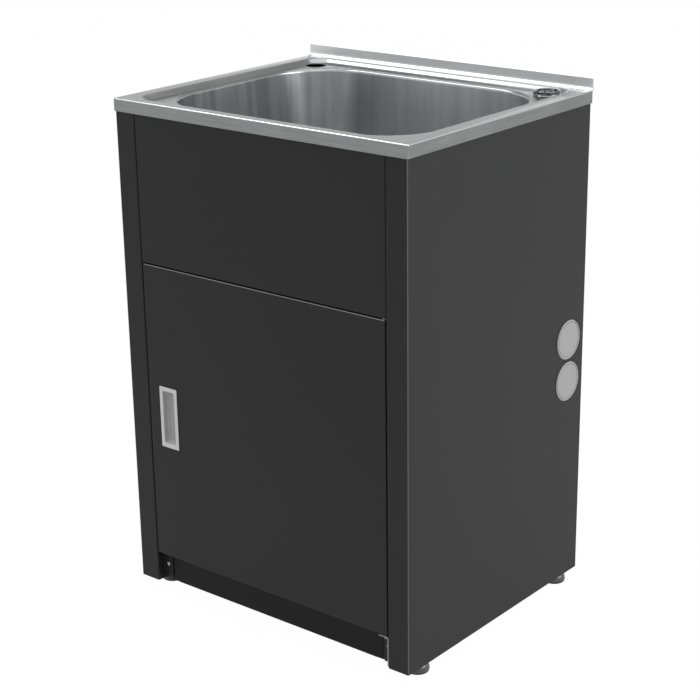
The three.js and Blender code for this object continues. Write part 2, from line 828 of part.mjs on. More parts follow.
/** Bypass: deck flange with a lug, raised ring and threaded shank. */
function bypassBody() {
  const ringInner = bypassBossRadius - bypassRingWidth;
  const shank = bypassBoreRadius + bypassShankWall;
  const shelf = bypassBossHeight - plugSink - plugThickness - seatGap;
  const body = revolve([
    [bypassFlangeRadius, seatGap],
    [bypassFlangeRadius, bypassFlangeThickness / 2],
    [bypassFlangeRadius - bypassFlangeThickness / 2, bypassFlangeThickness],
    [bypassBossRadius + bypassFlangeThickness / 2, bypassFlangeThickness],
    [bypassBossRadius, bypassBossHeight - edgeBevel],
    [bypassBossRadius - edgeBevel, bypassBossHeight],
    [ringInner + edgeBevel / 2, bypassBossHeight],
    [ringInner, bypassBossHeight - edgeBevel],
    [ringInner, shelf],
    [bypassBoreRadius, shelf],
    [bypassBoreRadius, -bypassShankLength],
    [shank, -bypassShankLength],
    [shank, seatGap],
  ], bypassSegments);
  const lug = rod(bypassLugRadius, seatGap, bypassLugHeight, smallSegments);
  return join(body, lug.translate(bypassLugOffset, 0, 0).rotateZ(bypassLugTurn));
}

/** Lift-out plug that closes the bypass, with its pull stud off the centre. */
function bypassPlug() {
  const radius = bypassBossRadius - bypassRingWidth - seatGap;
  const top = bypassBossHeight - plugSink;
  const bottom = top - plugThickness;
  const edge = plugThickness / 5;
  const neck = plugKnobRadius * knobNeckRatio;
  const disc = revolve([
    [0, bottom],
    [radius, bottom],
    [radius, top - edge],
    [radius - edge, top],
    [0, top],
  ], bypassSegments);
  const stud = revolve([
    [0, bottom + edge],
    [neck, bottom + edge],
    [neck, top + plugKnobHeight / 3],
    [plugKnobRadius, top + plugKnobHeight * knobNeckRatio],
    [neck, top + plugKnobHeight],
    [0, top + plugKnobHeight],
  ], smallSegments);
  return join(disc, stud.translate(plugKnobOffset, 0, 0).rotateZ(plugKnobTurn));
}

function bypassNut() {
  const top = -troughSheet - seatGap;
  const inner = bypassBoreRadius + bypassShankWall + seatGap;
  return lobedNut(inner, bypassNutWidth, top - bypassNutHeight, top, 6);
}

/** Pipe from the bypass shank down and across to the tee's inlet. */
function bypassPipe() {
  const up = new THREE.Vector3(0, 0, 1);
  const sideways = new THREE.Vector3().crossVectors(up, bypassDirection).normalize();
  const tee = new THREE.Vector3(0, bowlCentreY, teeInletZ);
  const elbow = tee.clone().addScaledVector(bypassDirection, bypassRun.length() / Math.cos(bypassPipeFall));
  const top = new THREE.Vector3(bypassX, bypassY, ledgeZ - bypassShankLength - seatGap);
  const end = tee.clone().addScaledVector(bypassDirection, teeInletReach - bypassPipeEntry);
  const bend = new THREE.QuadraticBezierCurve3(
    elbow.clone().addScaledVector(up, bypassPipeBend),
    elbow,
    elbow.clone().addScaledVector(bypassDirection, -bypassPipeBend),
  );
  const stations = [{ at: top, along: up.clone().negate() }];
  for (let i = 0; i <= pipeBendSteps; i += 1) {
    const t = i / pipeBendSteps;
    stations.push({ at: bend.getPoint(t), along: bend.getTangent(t) });
  }
  stations.push({ at: end, along: bypassDirection.clone().negate() });
  const rings = (radius) => stations.map(({ at, along }) => {
    const across = new THREE.Vector3().crossVectors(along, sideways);
    return Array.from({ length: pipeSegments }, (_, k) => {
      const angle = (k / pipeSegments) * 2 * Math.PI;
      return at.clone()
        .addScaledVector(sideways, radius * Math.cos(angle))
        .addScaledVector(across, radius * Math.sin(angle));
    });
  });
  const bore = rings(bypassPipeRadius - bypassPipeWall);
  return skin([...rings(bypassPipeRadius), ...bore.reverse()], true);
}

// ---------------------------------------------------------------------------
// Cabinet sheet metal
// ---------------------------------------------------------------------------

/** Side panel with stile, door rebate, rear return and end flanges. */
function sidePanel(side) {
  const mirrored = (points) => points.map(([x, y]) => [side * x, y]);
  const wall = extrudeZ(foldedSection(mirrored([
    [cabinetHalfWidth - rearReturnWidth, rearY],
    [cabinetHalfWidth, rearY],
    [cabinetHalfWidth, frontY],
    [stileInnerX, frontY],
    [stileInnerX, rebateY],
    [rebateInnerX, rebateY],
  ]), steelSheet, side), cabinetBottomZ, cabinetTopZ);
  const flange = (width, z, grow, front, back) => {
    const section = foldedSection(mirrored([
      [cabinetHalfWidth - width, z],
      [cabinetHalfWidth, z],
      [cabinetHalfWidth, z - grow * flangeRootHeight],
    ]), steelSheet, side * grow);
    return extrudeY(section, front, back);
  };
  const top = flange(topFlangeWidth, cabinetTopZ, 1, frontY + flangeEndInset, rearY - flangeEndInset);
  const bottomFrontY = rebateY - rebateDepth / 2;
  const bottom = flange(bottomFlangeWidth, cabinetBottomZ, -1, bottomFrontY, rearY - 2 * steelSheet);
  const holeReach = 2 * steelSheet;
  const hoseHoles = hoseHoleHeights().map((z) => (
    acrossX(rod(hoseHoleRadius, -holeReach, holeReach)).translate(side * cabinetHalfWidth, hoseHoleY, z)
  ));
  const stemHoles = [footFrontY, footRearY].map((y) => (
    rod(footStemRadius + 2 * seatGap, 0, 2 * cabinetBottomZ, smallSegments).translate(side * footX, y, 0)
  ));
  const reliefZ = ledgeZ - troughSheet - troughClearance;
  const relief = sideBlock(side, 0, rebateY - sheetBend, reliefZ, stileInnerX - sheetBend, 0, deckHeight);
  return cut(join(wall, top, bottom), relief, ...hoseHoles, ...stemHoles, ...sidePanelScrewHoles(side));
}

/** Heights of the two hose holes. */
function hoseHoleHeights() {
  return [hoseHoleUpperZ, hoseHoleUpperZ - hoseHolePitch];
}

/** Turns something drawn along Z to lie along +X. */
function acrossX(geometry) {
  return geometry.rotateY(Math.PI / 2);
}

/** Kickboard: plate between the rebates, with joggled tabs that go behind them. */
function kickboard() {
  const tabStart = rebateInnerX - sheetBend;
  const plateHalf = tabStart - 3 * steelSheet;
  const tabEnd = stileInnerX - sheetBend;
  const plate = extrudeZ(foldedSection([
    [tabEnd, kickTabY],
    [tabStart, kickTabY],
    [plateHalf, rebateY],
    [-plateHalf, rebateY],
    [-tabStart, kickTabY],
    [-tabEnd, kickTabY],
  ], steelSheet), cabinetBottomZ + steelSheet + seatGap, kickTopZ);
  const hem = extrudeX(foldedSection([
    [rebateY, kickTopZ - kickHeight / 2],
    [rebateY, cabinetBottomZ],
    [rebateY + kickFlange, cabinetBottomZ],
  ], steelSheet, -1), -plateHalf + kickFlange, plateHalf - kickFlange);
  const holes = [-1, 1].map((side) => screwHole('y').translate(side * rebateMiddleX(), kickTabY, kickScrewZ));
  return cut(join(plate, hem), ...holes);
}

function rebateMiddleX() {
  return (stileInnerX + rebateInnerX) / 2;
}

/** Fixed front panel above the door. */
function upperFrontPanel() {
  const pan = foldedPan(upperPanelHalfWidth, upperPanelBottomZ, cabinetTopZ, frontY, upperPanelDepth);
  const pinHole = rod(
    pivotPinRadius + seatGap,
    upperPanelBottomZ - steelSheet,
    upperPanelBottomZ + 2 * steelSheet,
    screwSegments,
  ).translate(pivotX, pivotY, 0);
  const upperPivot = pivotEnds.filter(({ way }) => way > 0);
  return cut(pan, pinHole, ...[-1, 1].map(upperPanelScrewHole), ...bracketScrewHoles(upperPivot));
}

/** Height of the screws that hold the upper front panel to the stiles. */
function upperPanelScrewZ() {
  return upperPanelBottomZ + upperPanelScrewRise;
}

/** Hole for the screw that holds the upper front panel to a stile. */
function upperPanelScrewHole(side) {
  const y = frontY + upperPanelDepth / 2;
  return screwHole('x').translate(side * stileInnerX, y, upperPanelScrewZ());
}

/** Cabinet floor with turned-down edges and the pipe cut-out. */
function basePanel() {
  const top = kickTopZ;
  const bottom = top - basePanelFlange;
  const outer = block(-innerHalfWidth, basePanelFrontY, bottom, innerHalfWidth, basePanelRearY, top);
  const under = block(
    -innerHalfWidth + steelSheet,
    basePanelFrontY + steelSheet,
    top - 2 * basePanelFlange,
    innerHalfWidth - steelSheet,
    basePanelRearY - steelSheet,
    top - steelSheet,
  );
  const cutoutY = basePanelRearY - pipeCutoutRearMargin - pipeCutoutDepth / 2;
  const cutoutShape = roundedRectangle(pipeCutoutWidth, pipeCutoutDepth, pipeCutoutRadius, 0, cutoutY);
  const cutout = extrudeZ(cutoutShape, top - 2 * basePanelFlange, top + basePanelFlange);
  return cut(outer, under, cutout);
}

/** Rear rails tie the side panels together above and below the pipe opening. */
function rearRailUpper() {
  const low = cabinetTopZ - railUpperHeight;
  const section = foldedSection([
    [railOuterY - railFlange, cabinetTopZ],
    [railOuterY, cabinetTopZ],
    [railOuterY, low],
    [railOuterY - 2 * railFlange, low],
  ], steelSheet);
  return cut(extrudeX(section, -railHalfWidth, railHalfWidth), ...railScrewHoles(railUpperScrewZ()));
}

function rearRailLower() {
  const low = cabinetBottomZ + steelSheet + seatGap;
  const high = cabinetBottomZ + railLowerHeight;
  const section = foldedSection([
    [railOuterY - 2 * railFlange, high],
    [railOuterY, high],
    [railOuterY, low],
  ], steelSheet);
  return cut(extrudeX(section, -railHalfWidth, railHalfWidth), ...railScrewHoles(railLowerScrewZ()));
}

function railUpperScrewZ() {
  return cabinetTopZ - railUpperHeight / 2;
}

function railLowerScrewZ() {
  return cabinetBottomZ + railLowerHeight - railLowerScrewDrop;
}

function railScrewHoles(z) {
  return [-1, 1].map((side) => screwHole('y').translate(
    side * (cabinetHalfWidth - railScrewInset),
    railOuterY,
    z,
  ));
}

// ---------------------------------------------------------------------------
// Door
// ---------------------------------------------------------------------------

const pullX = -doorHalfWidth + pullEdgeInset + pullWidth / 2;
const pullZ = (doorBottomZ + doorTopZ) / 2 - pullDrop;
const pullSocketWidth = pullWidth - 2 * pullFlangeMargin;
const pullSocketHeight = pullHeight - 2 * pullFlangeMargin;

/** Outer skin of the door: a pan with rounded edges, open at the back. */
function doorSkin() {
  const pan = foldedPan(doorHalfWidth, doorBottomZ, doorTopZ, frontY, doorThickness);
  const socket = extrudeY(
    roundedRectangle(
      pullSocketWidth + 2 * seatGap,
      pullSocketHeight + 2 * seatGap,
      pullCornerRadius,
      pullX,
      pullZ,
    ),
    frontY - doorThickness,
    frontY + doorThickness / 2,
    bendSegments,
  );
  const bushHoles = [doorBottomZ, doorTopZ].map((z) => (
    rod(bushHoleRadius, z - 2 * steelSheet, z + 2 * steelSheet, screwSegments).translate(pivotX, pivotY, 0)
  ));
  return cut(pan, socket, ...bushHoles);
}

/** Liner that closes the back of the door inside the skin's returns. */
function doorLiner() {
  const half = doorHalfWidth - steelSheet - seatGap;
  const bottom = doorBottomZ + steelSheet + seatGap;
  const top = doorTopZ - steelSheet - seatGap;
  const plateFront = doorBackY - steelSheet;
  const outer = block(-half, doorBackY - linerFlange, bottom, half, doorBackY, top);
  const hollow = block(
    -half + steelSheet,
    doorBackY - 2 * linerFlange,
    bottom + steelSheet,
    half - steelSheet,
    plateFront,
    top - steelSheet,
  );
  return cut(outer, hollow);
}

/** Recessed pull: bezel on the door's face and a tapered finger pocket. */
function doorPull() {
  const bezelFront = frontY - pullFlangeThickness;
  const floor = bezelFront + pullPocketDepth;
  const bezelShape = roundedRectangle(pullWidth, pullHeight, pullCornerRadius, pullX, pullZ);
  const bezel = extrudeY(bezelShape, bezelFront, frontY - seatGap, bendSegments);
  const socketRadius = pullCornerRadius - seatGap;
  const socketShape = roundedRectangle(pullSocketWidth, pullSocketHeight, socketRadius, pullX, pullZ);
  const socket = extrudeY(socketShape, frontY - pullFlangeThickness / 2, floor + pullBackWall, bendSegments);
  const opening = (sideInset, endInset, y) => levelRing(level(
    pullWidth / 2 - pullRimWidth - sideInset,
    -pullHeight / 2 + pullRimWidth + endInset,
    pullHeight / 2 - pullRimWidth - endInset,
    pullCornerRadius / 2,
    pullCornerRadius / 2,
    y,
  ));
  const mouth = opening(0, 0, bezelFront - seatGap);
  const pocket = skin([opening(pullSideTaper, pullEndTaper, floor), mouth], false);
  const upright = new THREE.Matrix4().makeBasis(
    new THREE.Vector3(1, 0, 0),
    new THREE.Vector3(0, 0, 1),
    new THREE.Vector3(0, 1, 0),
  );
  pocket.applyMatrix4(upright).translate(pullX, 0, pullZ);
  return cut(join(bezel, socket), pocket);
}

// The door turns on two pins. Everything below is drawn from the door's end at
// height 0, away from the door for one end (way -1: the foot) and the other
// (way 1: the head).

/** Nylon pivot bush: barrel in the door, collar towards the bracket. */
function pivotBush(way) {
  const inner = pivotPinRadius + seatGap;
  return revolve([
    [inner, way * (seatGap + bushCollarHeight)],
    [bushCollarRadius, way * (seatGap + bushCollarHeight)],
    [bushCollarRadius, way * seatGap],
    [bushOuterRadius, way * seatGap],
    [bushOuterRadius, -way * bushBarrelLength],
    [inner, -way * bushBarrelLength],
  ], screwSegments);
}

/** Headed pivot pin, pushed through the bracket's tab into the bush. */
function pivotPin(way, tabFace) {
  const seat = tabFace + bracketThickness + seatGap;
  return revolve([
    [0, way * (seat + pivotPinHeadHeight)],
    [pivotPinHeadRadius - edgeBevel, way * (seat + pivotPinHeadHeight)],
    [pivotPinHeadRadius, way * (seat + pivotPinHeadHeight - edgeBevel)],
    [pivotPinHeadRadius, way * seat],
    [pivotPinRadius, way * seat],
    [pivotPinRadius, -way * pivotPinReach],
    [0, -way * pivotPinReach],
  ], screwSegments);
}

/** Angle bracket: tab round the pin, leg away from the door along its carrier. */
function hingeBracket(way, tabFace, legX) {
  const section = foldedSection([
    [legX, way * (tabFace + bracketLegLength)],
    [legX, way * tabFace],
    [legX - bracketTabLength, way * tabFace],
  ], bracketThickness, way);
  const middle = bracketSetback;
  const angle = extrudeY(section, middle - bracketDepth / 2, middle + bracketDepth / 2);
  const pinHole = rod(pivotPinRadius + seatGap, -bracketLegLength, bracketLegLength, screwSegments);
  const screws = bracketScrewOffsets(tabFace)
    .map((drop) => screwHole('x').translate(legX, middle, way * drop));
  return cut(angle, pinHole, ...screws);
}

/** Distances of the two bracket screws from the door's end. */
function bracketScrewOffsets(tabFace) {
  return Array.from({ length: bracketScrewCount }, (_, i) => (
    tabFace + bracketLegLength - (bracketScrewCount - i - 0.5) * bracketScrewPitch
  ));
}

const pivotEnds = [
  {
    place: 'lower',
    way: -1,
    doorEndZ: doorBottomZ,
    tabFace: bushCollarHeight + 2 * seatGap,
    legX: stileInnerX - seatGap,
  },
  {
    place: 'upper',
    way: 1,
    doorEndZ: doorTopZ,
    tabFace: doorTopGap + steelSheet + seatGap,
    legX: upperPanelHalfWidth - steelSheet - seatGap,
  },
];

/** Holes on the hinge side for the screws of the given brackets. */
function bracketScrewHoles(ends) {
  return ends.flatMap(({ way, doorEndZ, tabFace }) => bracketScrewOffsets(tabFace).map((drop) => (
    screwHole('x').translate(stileInnerX, pivotY + bracketSetback, doorEndZ + way * drop)
  )));
}

// ---------------------------------------------------------------------------
// Magnetic catch, screws, caps and feet
// ---------------------------------------------------------------------------

const catchX = -rebateInnerX + seatGap;
const catchFaceY = doorBackY + seatGap;
const catchTopZ = doorTopZ - catchDrop;
const catchMiddleZ = catchTopZ - catchHeight / 2;

/** Catch housing: a block beside the rebate with an ear that goes behind it. */
function catchHousing() {
  const body = block(
    catchX,
    catchFaceY + magnetProud,
    catchTopZ - catchHeight,
    catchX + catchWidth,
    catchFaceY + catchDepth,
    catchTopZ,
  );
  const earY = rebateBackY + seatGap;
  const ear = block(
    catchX - catchEarWidth,
    earY,
    catchTopZ - catchHeight,
    catchX + catchWidth / 2,
    earY + catchEarThickness,
    catchTopZ,
  );
  const socket = block(
    catchX + (catchWidth - magnetWidth) / 2 - seatGap,
    catchFaceY,
    catchMiddleZ - magnetHeight / 2 - seatGap,
    catchX + (catchWidth + magnetWidth) / 2 + seatGap,
    catchFaceY + magnetDepth + seatGap,
    catchMiddleZ + magnetHeight / 2 + seatGap,
  );
  const holes = catchScrewHeights().map((z) => screwHole('y').translate(-rebateMiddleX(), rebateBackY, z));
  return cut(join(body, ear), socket, ...holes);
}

function catchScrewHeights() {
  return [catchMiddleZ - catchHeight / 4, catchMiddleZ + catchHeight / 4];
}

/** Magnet between the catch's cheeks, its face towards the door's liner. */
function catchMagnet() {
  return block(
    catchX + (catchWidth - magnetWidth) / 2,
    catchFaceY,
    catchMiddleZ - magnetHeight / 2,
    catchX + (catchWidth + magnetWidth) / 2,
    catchFaceY + magnetDepth,
    catchMiddleZ + magnetHeight / 2,
  );
}

/** A clearance hole for a screw, along the named axis through the origin. */
function screwHole(axis) {
  const hole = rod(screwShankRadius + screwClearance, -3 * steelSheet, 3 * steelSheet, screwSegments);
  return axis === 'x' ? hole.rotateY(Math.PI / 2) : hole.rotateX(Math.PI / 2);
}

/** Holes in a side panel for the pieces screwed to it. */
function sidePanelScrewHoles(side) {
  const holes = [];
  const rebate = (z) => screwHole('y').translate(side * rebateMiddleX(), rebateY, z);
  const back = (z) => screwHole('y').translate(side * (cabinetHalfWidth - railScrewInset), rearY, z);
  holes.push(rebate(kickScrewZ), back(railUpperScrewZ()), back(railLowerScrewZ()));
  holes.push(upperPanelScrewHole(side));
  if (side < 0) {
    holes.push(...catchScrewHeights().map(rebate));
  } else {
    holes.push(...bracketScrewHoles(pivotEnds));
  }
  return holes;
}

/** Pan-head screw: the head's seat is at the origin, the shank runs along -Z. */
function panScrew(length) {
  const shoulder = screwHeadHeight * knobNeckRatio;
  return revolve([
    [0, -length],
    [screwShankRadius, -length],
    [screwShankRadius, 0],
    [screwHeadRadius, 0],
    [screwHeadRadius, shoulder],
    [screwHeadRadius - shoulder, screwHeadHeight],
    [0, screwHeadHeight],
  ], screwSegments);
}

/** Push-in hose hole cap: rimmed face, split skirt; drawn facing +Z. */
function hoseCap() {
  const skirt = hoseHoleRadius - seatGap;
  const rimInner = capFlangeRadius - capRimWidth;
  const face = seatGap / 2;
  const cap = revolve([
    [0, face],
    [skirt - capSkirtWall, face],
    [skirt - capSkirtWall, -capSkirtLength],
    [skirt, -capSkirtLength],
    [skirt, face],
    [capFlangeRadius, face],
    [capFlangeRadius - capRimWidth / 3, face + capRimHeight],
    [rimInner + capRimWidth / 3, face + capRimHeight],
    [rimInner, face + capFaceThickness],
    [0, face + capFaceThickness],
  ]);
  const slots = Array.from({ length: capSlotCount }, (_, i) => (
    block(0, -capSlotWidth / 2, -2 * capSkirtLength, 2 * skirt, capSlotWidth / 2, -capSkirtLength / 3)
      .rotateZ(((i + 0.5) / capSlotCount) * 2 * Math.PI)
  ));
  return cut(cap, ...slots);
}

/** Adjustable foot: domed pad and threaded stem in one piece. */
function foot() {
  const shoulder = footHeight - seatGap;
  const dome = Array.from({ length: footDomeSteps + 1 }, (_, i) => {
    const angle = (i / footDomeSteps) * Math.PI / 2;
    const radius = footShoulderRadius + (footPadRadius - footShoulderRadius) * Math.cos(angle);
    const height = footPadEdge + (shoulder - footPadEdge) * Math.sin(angle);
    return [radius, height];
  });
  return revolve([
    [0, 0],
    [footPadRadius - edgeBevel, 0],
    [footPadRadius, edgeBevel],
    ...dome,
    [footStemRadius, shoulder],
    [footStemRadius, footStemTop],
    [0, footStemTop],
  ], footSegments);
}

/** Hexagon nut on the bottom flange, round the foot's stem. */
function footNut() {
  const bottom = cabinetBottomZ + steelSheet + seatGap;
  const circumradius = footNutAcross / Math.sqrt(3);
  const hexagon = new THREE.Shape(Array.from({ length: 6 }, (_, i) => {
    const angle = (i / 6) * 2 * Math.PI;
    return new THREE.Vector2(circumradius * Math.cos(angle), circumradius * Math.sin(angle));
  }));
  const bore = new THREE.Path();
  bore.absarc(0, 0, footStemRadius + seatGap, 0, 2 * Math.PI);
  hexagon.holes.push(bore);
  return extrudeZ(hexagon, bottom, bottom + footNutHeight, smallSegments / 2);
}

// ---------------------------------------------------------------------------
// Assembly
// ---------------------------------------------------------------------------

const group = new THREE.Group();

/** Adds a named piece and returns its mesh, so it can be placed. */
function add(name, geometry, material, parent = group) {
  const mesh = new THREE.Mesh(geometry, material);
  mesh.name = name;
  parent.add(mesh);
  return mesh;
}

/** Adds a screw whose head looks along the given direction. */
function addScrew(name, x, y, z, headDirection, length = screwLength) {
  const screw = add(name, panScrew(length), finishes.zinc);
  screw.quaternion.setFromUnitVectors(new THREE.Vector3(0, 0, 1), headDirection);
  screw.position.set(x, y, z).addScaledVector(headDirection, seatGap);
  return screw;
}

// Trough, waste and bypass.
add('trough', trough(), finishes.brushedSteel);
add('waste_body', wasteBody(), finishes.chrome);
add('waste_washer', wasteWasher(), finishes.rubber);
add('waste_backnut', wasteBacknut(), finishes.whitePlastic);
add('waste_basket', wasteBasket(), finishes.chrome);
add('waste_tee', wasteTee(), finishes.whitePlastic);
add('bypass_pipe', bypassPipe(), finishes.whitePlastic);

const bypass = new THREE.Group();
bypass.position.set(bypassX, bypassY, ledgeZ);
group.add(bypass);
add('bypass_body', bypassBody(), finishes.chrome, bypass);
add('bypass_plug', bypassPlug(), finishes.chrome, bypass);
add('bypass_nut', bypassNut(), finishes.whitePlastic, bypass);

// Cabinet.
add('side_panel_left', sidePanel(-1), finishes.powderCoat);
add('side_panel_right', sidePanel(1), finishes.powderCoat);
add('upper_front_panel', upperFrontPanel(), finishes.powderCoat);
add('kickboard', kickboard(), finishes.powderCoat);
add('base_panel', basePanel(), finishes.powderCoat);
add('rear_rail_upper', rearRailUpper(), finishes.powderCoat);
add('rear_rail_lower', rearRailLower(), finishes.powderCoat);

// Door with its pull and bushes.
add('door_skin', doorSkin(), finishes.powderCoat);
add('door_liner', doorLiner(), finishes.powderCoat);
add('door_pull', doorPull(), finishes.greyPlastic);

// Pivots at the door's foot and head.
pivotEnds.forEach(({ place, way, doorEndZ, tabFace, legX }) => {
  const axis = new THREE.Group();
  axis.position.set(pivotX, pivotY, doorEndZ);
  group.add(axis);
  add(`hinge_bracket_${place}`, hingeBracket(way, tabFace, legX - pivotX), finishes.zinc, axis);
  add(`hinge_pin_${place}`, pivotPin(way, tabFace), finishes.zinc, axis);
  add(`hinge_bush_${place}`, pivotBush(way), finishes.whitePlastic, axis);
  bracketScrewOffsets(tabFace).forEach((drop, i) => {
    const [y, z] = [pivotY + bracketSetback, doorEndZ + way * drop];
    addScrew(`hinge_screw_${place}_${i + 1}`, legX - bracketThickness, y, z, new THREE.Vector3(-1, 0, 0));
  });
});

// Catch.
add('catch_housing', catchHousing(), finishes.whitePlastic);
add('catch_magnet', catchMagnet(), finishes.magnet);
catchScrewHeights().forEach((z, i) => {
  const y = rebateBackY + seatGap + catchEarThickness;
  addScrew(`catch_screw_${i + 1}`, -rebateMiddleX(), y, z, new THREE.Vector3(0, 1, 0), shortScrewLength);
});

// Pieces that come in left and right pairs.
[{ side: -1, name: 'left' }, { side: 1, name: 'right' }].forEach(({ side, name }) => {
  const outward = new THREE.Vector3(side, 0, 0);
  addScrew(`kick_screw_${name}`, side * rebateMiddleX(), rebateY, kickScrewZ, new THREE.Vector3(0, -1, 0));
  addScrew(
    `upper_panel_screw_${name}`,
    side * (upperPanelHalfWidth - steelSheet),
    frontY + upperPanelDepth / 2,
    upperPanelScrewZ(),
    outward.clone().negate(),
  );
  const railScrewX = side * (cabinetHalfWidth - railScrewInset);
  addScrew(`rail_screw_upper_${name}`, railScrewX, rearY, railUpperScrewZ(), new THREE.Vector3(0, 1, 0));
  addScrew(`rail_screw_lower_${name}`, railScrewX, rearY, railLowerScrewZ(), new THREE.Vector3(0, 1, 0));
  hoseHoleHeights().forEach((z, i) => {
    const cap = add(`hose_cap_${name}_${i === 0 ? 'upper' : 'lower'}`, hoseCap(), finishes.greyPlastic);
    cap.quaternion.setFromUnitVectors(new THREE.Vector3(0, 0, 1), outward);
    cap.position.set(side * cabinetHalfWidth, hoseHoleY, z);
  });
  [{ y: footFrontY, end: 'front' }, { y: footRearY, end: 'rear' }].forEach(({ y, end }) => {
    add(`foot_${end}_${name}`, foot(), finishes.darkPlastic).position.set(side * footX, y, 0);
    add(`foot_nut_${end}_${name}`, footNut(), finishes.zinc).position.set(side * footX, y, 0);
  });
});

export default group;
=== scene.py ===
"""Studio scene of a laundry sink: a pressed steel trough on a folded steel cabinet.

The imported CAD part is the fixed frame. Folded sheet pieces keep its shape and get
smooth bends, and the pressed, turned and moulded pieces are modelled here. Every
size is in metres, in the part's own frame: +X right, -Y front, +Z up.
"""

import json
import logging
import math
from dataclasses import dataclass, replace
from enum import Enum
from typing import Callable, Sequence, Union

import bmesh
import bpy
from mathutils import Matrix, Vector

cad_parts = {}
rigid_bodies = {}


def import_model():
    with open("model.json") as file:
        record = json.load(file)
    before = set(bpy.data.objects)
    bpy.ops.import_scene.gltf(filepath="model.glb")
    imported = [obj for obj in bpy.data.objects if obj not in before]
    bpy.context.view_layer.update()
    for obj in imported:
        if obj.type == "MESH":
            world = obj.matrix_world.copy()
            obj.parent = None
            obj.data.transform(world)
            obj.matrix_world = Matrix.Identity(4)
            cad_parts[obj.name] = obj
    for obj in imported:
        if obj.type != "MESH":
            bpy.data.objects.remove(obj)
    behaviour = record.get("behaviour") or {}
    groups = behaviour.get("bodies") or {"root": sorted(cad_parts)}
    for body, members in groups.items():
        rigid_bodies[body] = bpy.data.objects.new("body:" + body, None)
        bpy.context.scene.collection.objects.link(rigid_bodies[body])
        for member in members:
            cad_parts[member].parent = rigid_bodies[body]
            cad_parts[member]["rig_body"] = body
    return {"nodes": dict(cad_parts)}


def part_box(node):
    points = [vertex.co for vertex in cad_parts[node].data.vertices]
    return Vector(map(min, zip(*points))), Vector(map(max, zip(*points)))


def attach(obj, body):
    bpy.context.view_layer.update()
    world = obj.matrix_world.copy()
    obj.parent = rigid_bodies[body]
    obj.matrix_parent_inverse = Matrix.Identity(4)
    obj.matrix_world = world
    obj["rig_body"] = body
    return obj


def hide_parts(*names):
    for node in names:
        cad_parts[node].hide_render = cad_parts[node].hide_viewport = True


for leftover in list(bpy.data.objects):
    bpy.data.objects.remove(leftover)
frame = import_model()

logging.basicConfig(level=logging.INFO, format="%(message)s")
log = logging.getLogger("laundry_sink")

Point = tuple[float, float]
Place = tuple[float, float, float]
Colour = tuple[float, float, float]
Piece = bpy.types.Object
Socket = bpy.types.NodeSocket

UP: Place = (0.0, 0.0, 1.0)
BYPASS_SPOT: Point = (0.242, 0.203)
WHITE: tuple[float, float, float, float] = (1.0, 1.0, 1.0, 1.0)
SAME_PLACE = 1e-6
FLAT_ANGLE = 0.5
FACE_WEIGHT = 80


class Slot(Enum):
    """The record's material slots."""

    STEEL = "brushed_stainless"
    CHROME = "chrome"
    POWDER = "black_powder_coat"
    ZINC = "zinc_plated"
    GREY = "grey_plastic"
    WHITE = "white_plastic"
    BLACK = "black_plastic"
    RUBBER = "black_rubber"
    FERRITE = "ferrite"


class Look(Enum):
    """The finishes, by the name of their material."""

    STEEL = "brushed_steel_sheet"
    CHROME = "chrome_plating"
    # painted dark reflection: chrome at half the colour, for the bypass
    DARK_CHROME = "dark_chrome_plating"
    POWDER = "charcoal_powder_coat"
    # painted shade: the powder coat darker and less shiny, for the recessed toe board
    DEEP_POWDER = "deep_charcoal_powder_coat"
    ZINC = "bright_zinc_plating"
    # painted shade: the zinc at half the colour, and rougher, for the hinge parts
    DULL_ZINC = "dull_zinc_plating"
    GREY = "grey_moulding"
    PALE_GREY = "pale_grey_moulding"
    WHITE = "white_moulding"
    BLACK = "glossy_black_moulding"
    RUBBER = "rubber_moulding"
    FERRITE = "ferrite_block"


class Pick(Enum):
    """What edit mode selects."""

    VERT = "VERT"
    EDGE = "EDGE"


class Facets(Enum):
    """How many faces go round a turned piece."""

    SMALL = 32
    MIDDLE = 48
    COMMON = 64
    LARGE = 96


class Crease(Enum):
    """The angle in degrees from which an edge stays sharp, by how the piece is made."""

    TURNED = 32.0
    PRESSED = 35.0
    MOULDED = 40.0
    FOLDED = 50.0


# Shader maths


class Signal:
    """A number that varies over a surface: one output of a node graph."""

    def __init__(self, graph: "Graph", socket: Socket) -> None:
        """Wraps a socket.

        Args:
            graph: The graph that the socket belongs to.
            socket: The output that carries the number.
        """
        self.graph = graph
        self.socket = socket

    def _math(self, operation: str, first: "Value", second: "Value") -> "Signal":
        """One Math node's result on two values."""
        return self.graph.signal(0, "ShaderNodeMath", {"operation": operation}, {0: first, 1: second})

    def __add__(self, other: "Value") -> "Signal":
        """self + other."""
        return self._math("ADD", self, other)

    def __radd__(self, other: "Value") -> "Signal":
        """other + self."""
        return self._math("ADD", other, self)

    def __sub__(self, other: "Value") -> "Signal":
        """self - other."""
        return self._math("SUBTRACT", self, other)

    def __rsub__(self, other: "Value") -> "Signal":
        """other - self."""
        return self._math("SUBTRACT", other, self)

    def __mul__(self, other: "Value") -> "Signal":
        """self * other."""
        return self._math("MULTIPLY", self, other)

    def __rmul__(self, other: "Value") -> "Signal":
        """other * self."""
        return self._math("MULTIPLY", other, self)

    def __gt__(self, other: "Value") -> "Signal":
        """1 where self is above other, and 0 elsewhere."""
        return self._math("GREATER_THAN", self, other)

    def swing(self, amount: float) -> "Signal":
        """A pattern as a change of up to half an amount, up or down."""
        return (self - 0.5) * amount

    def mixed(self, other: "Signal", share: float) -> "Signal":
        """This pattern by its share, and another by the rest."""
        return self * share + other * (1.0 - share)


Value = Union[float, Signal]


@dataclass(frozen=True)
class Pattern:
    """Noise: features per metre, octaves of finer noise, and extra frequency by axis."""

    scale: float
    detail: float
    stretch: Place = (1.0, 1.0, 1.0)


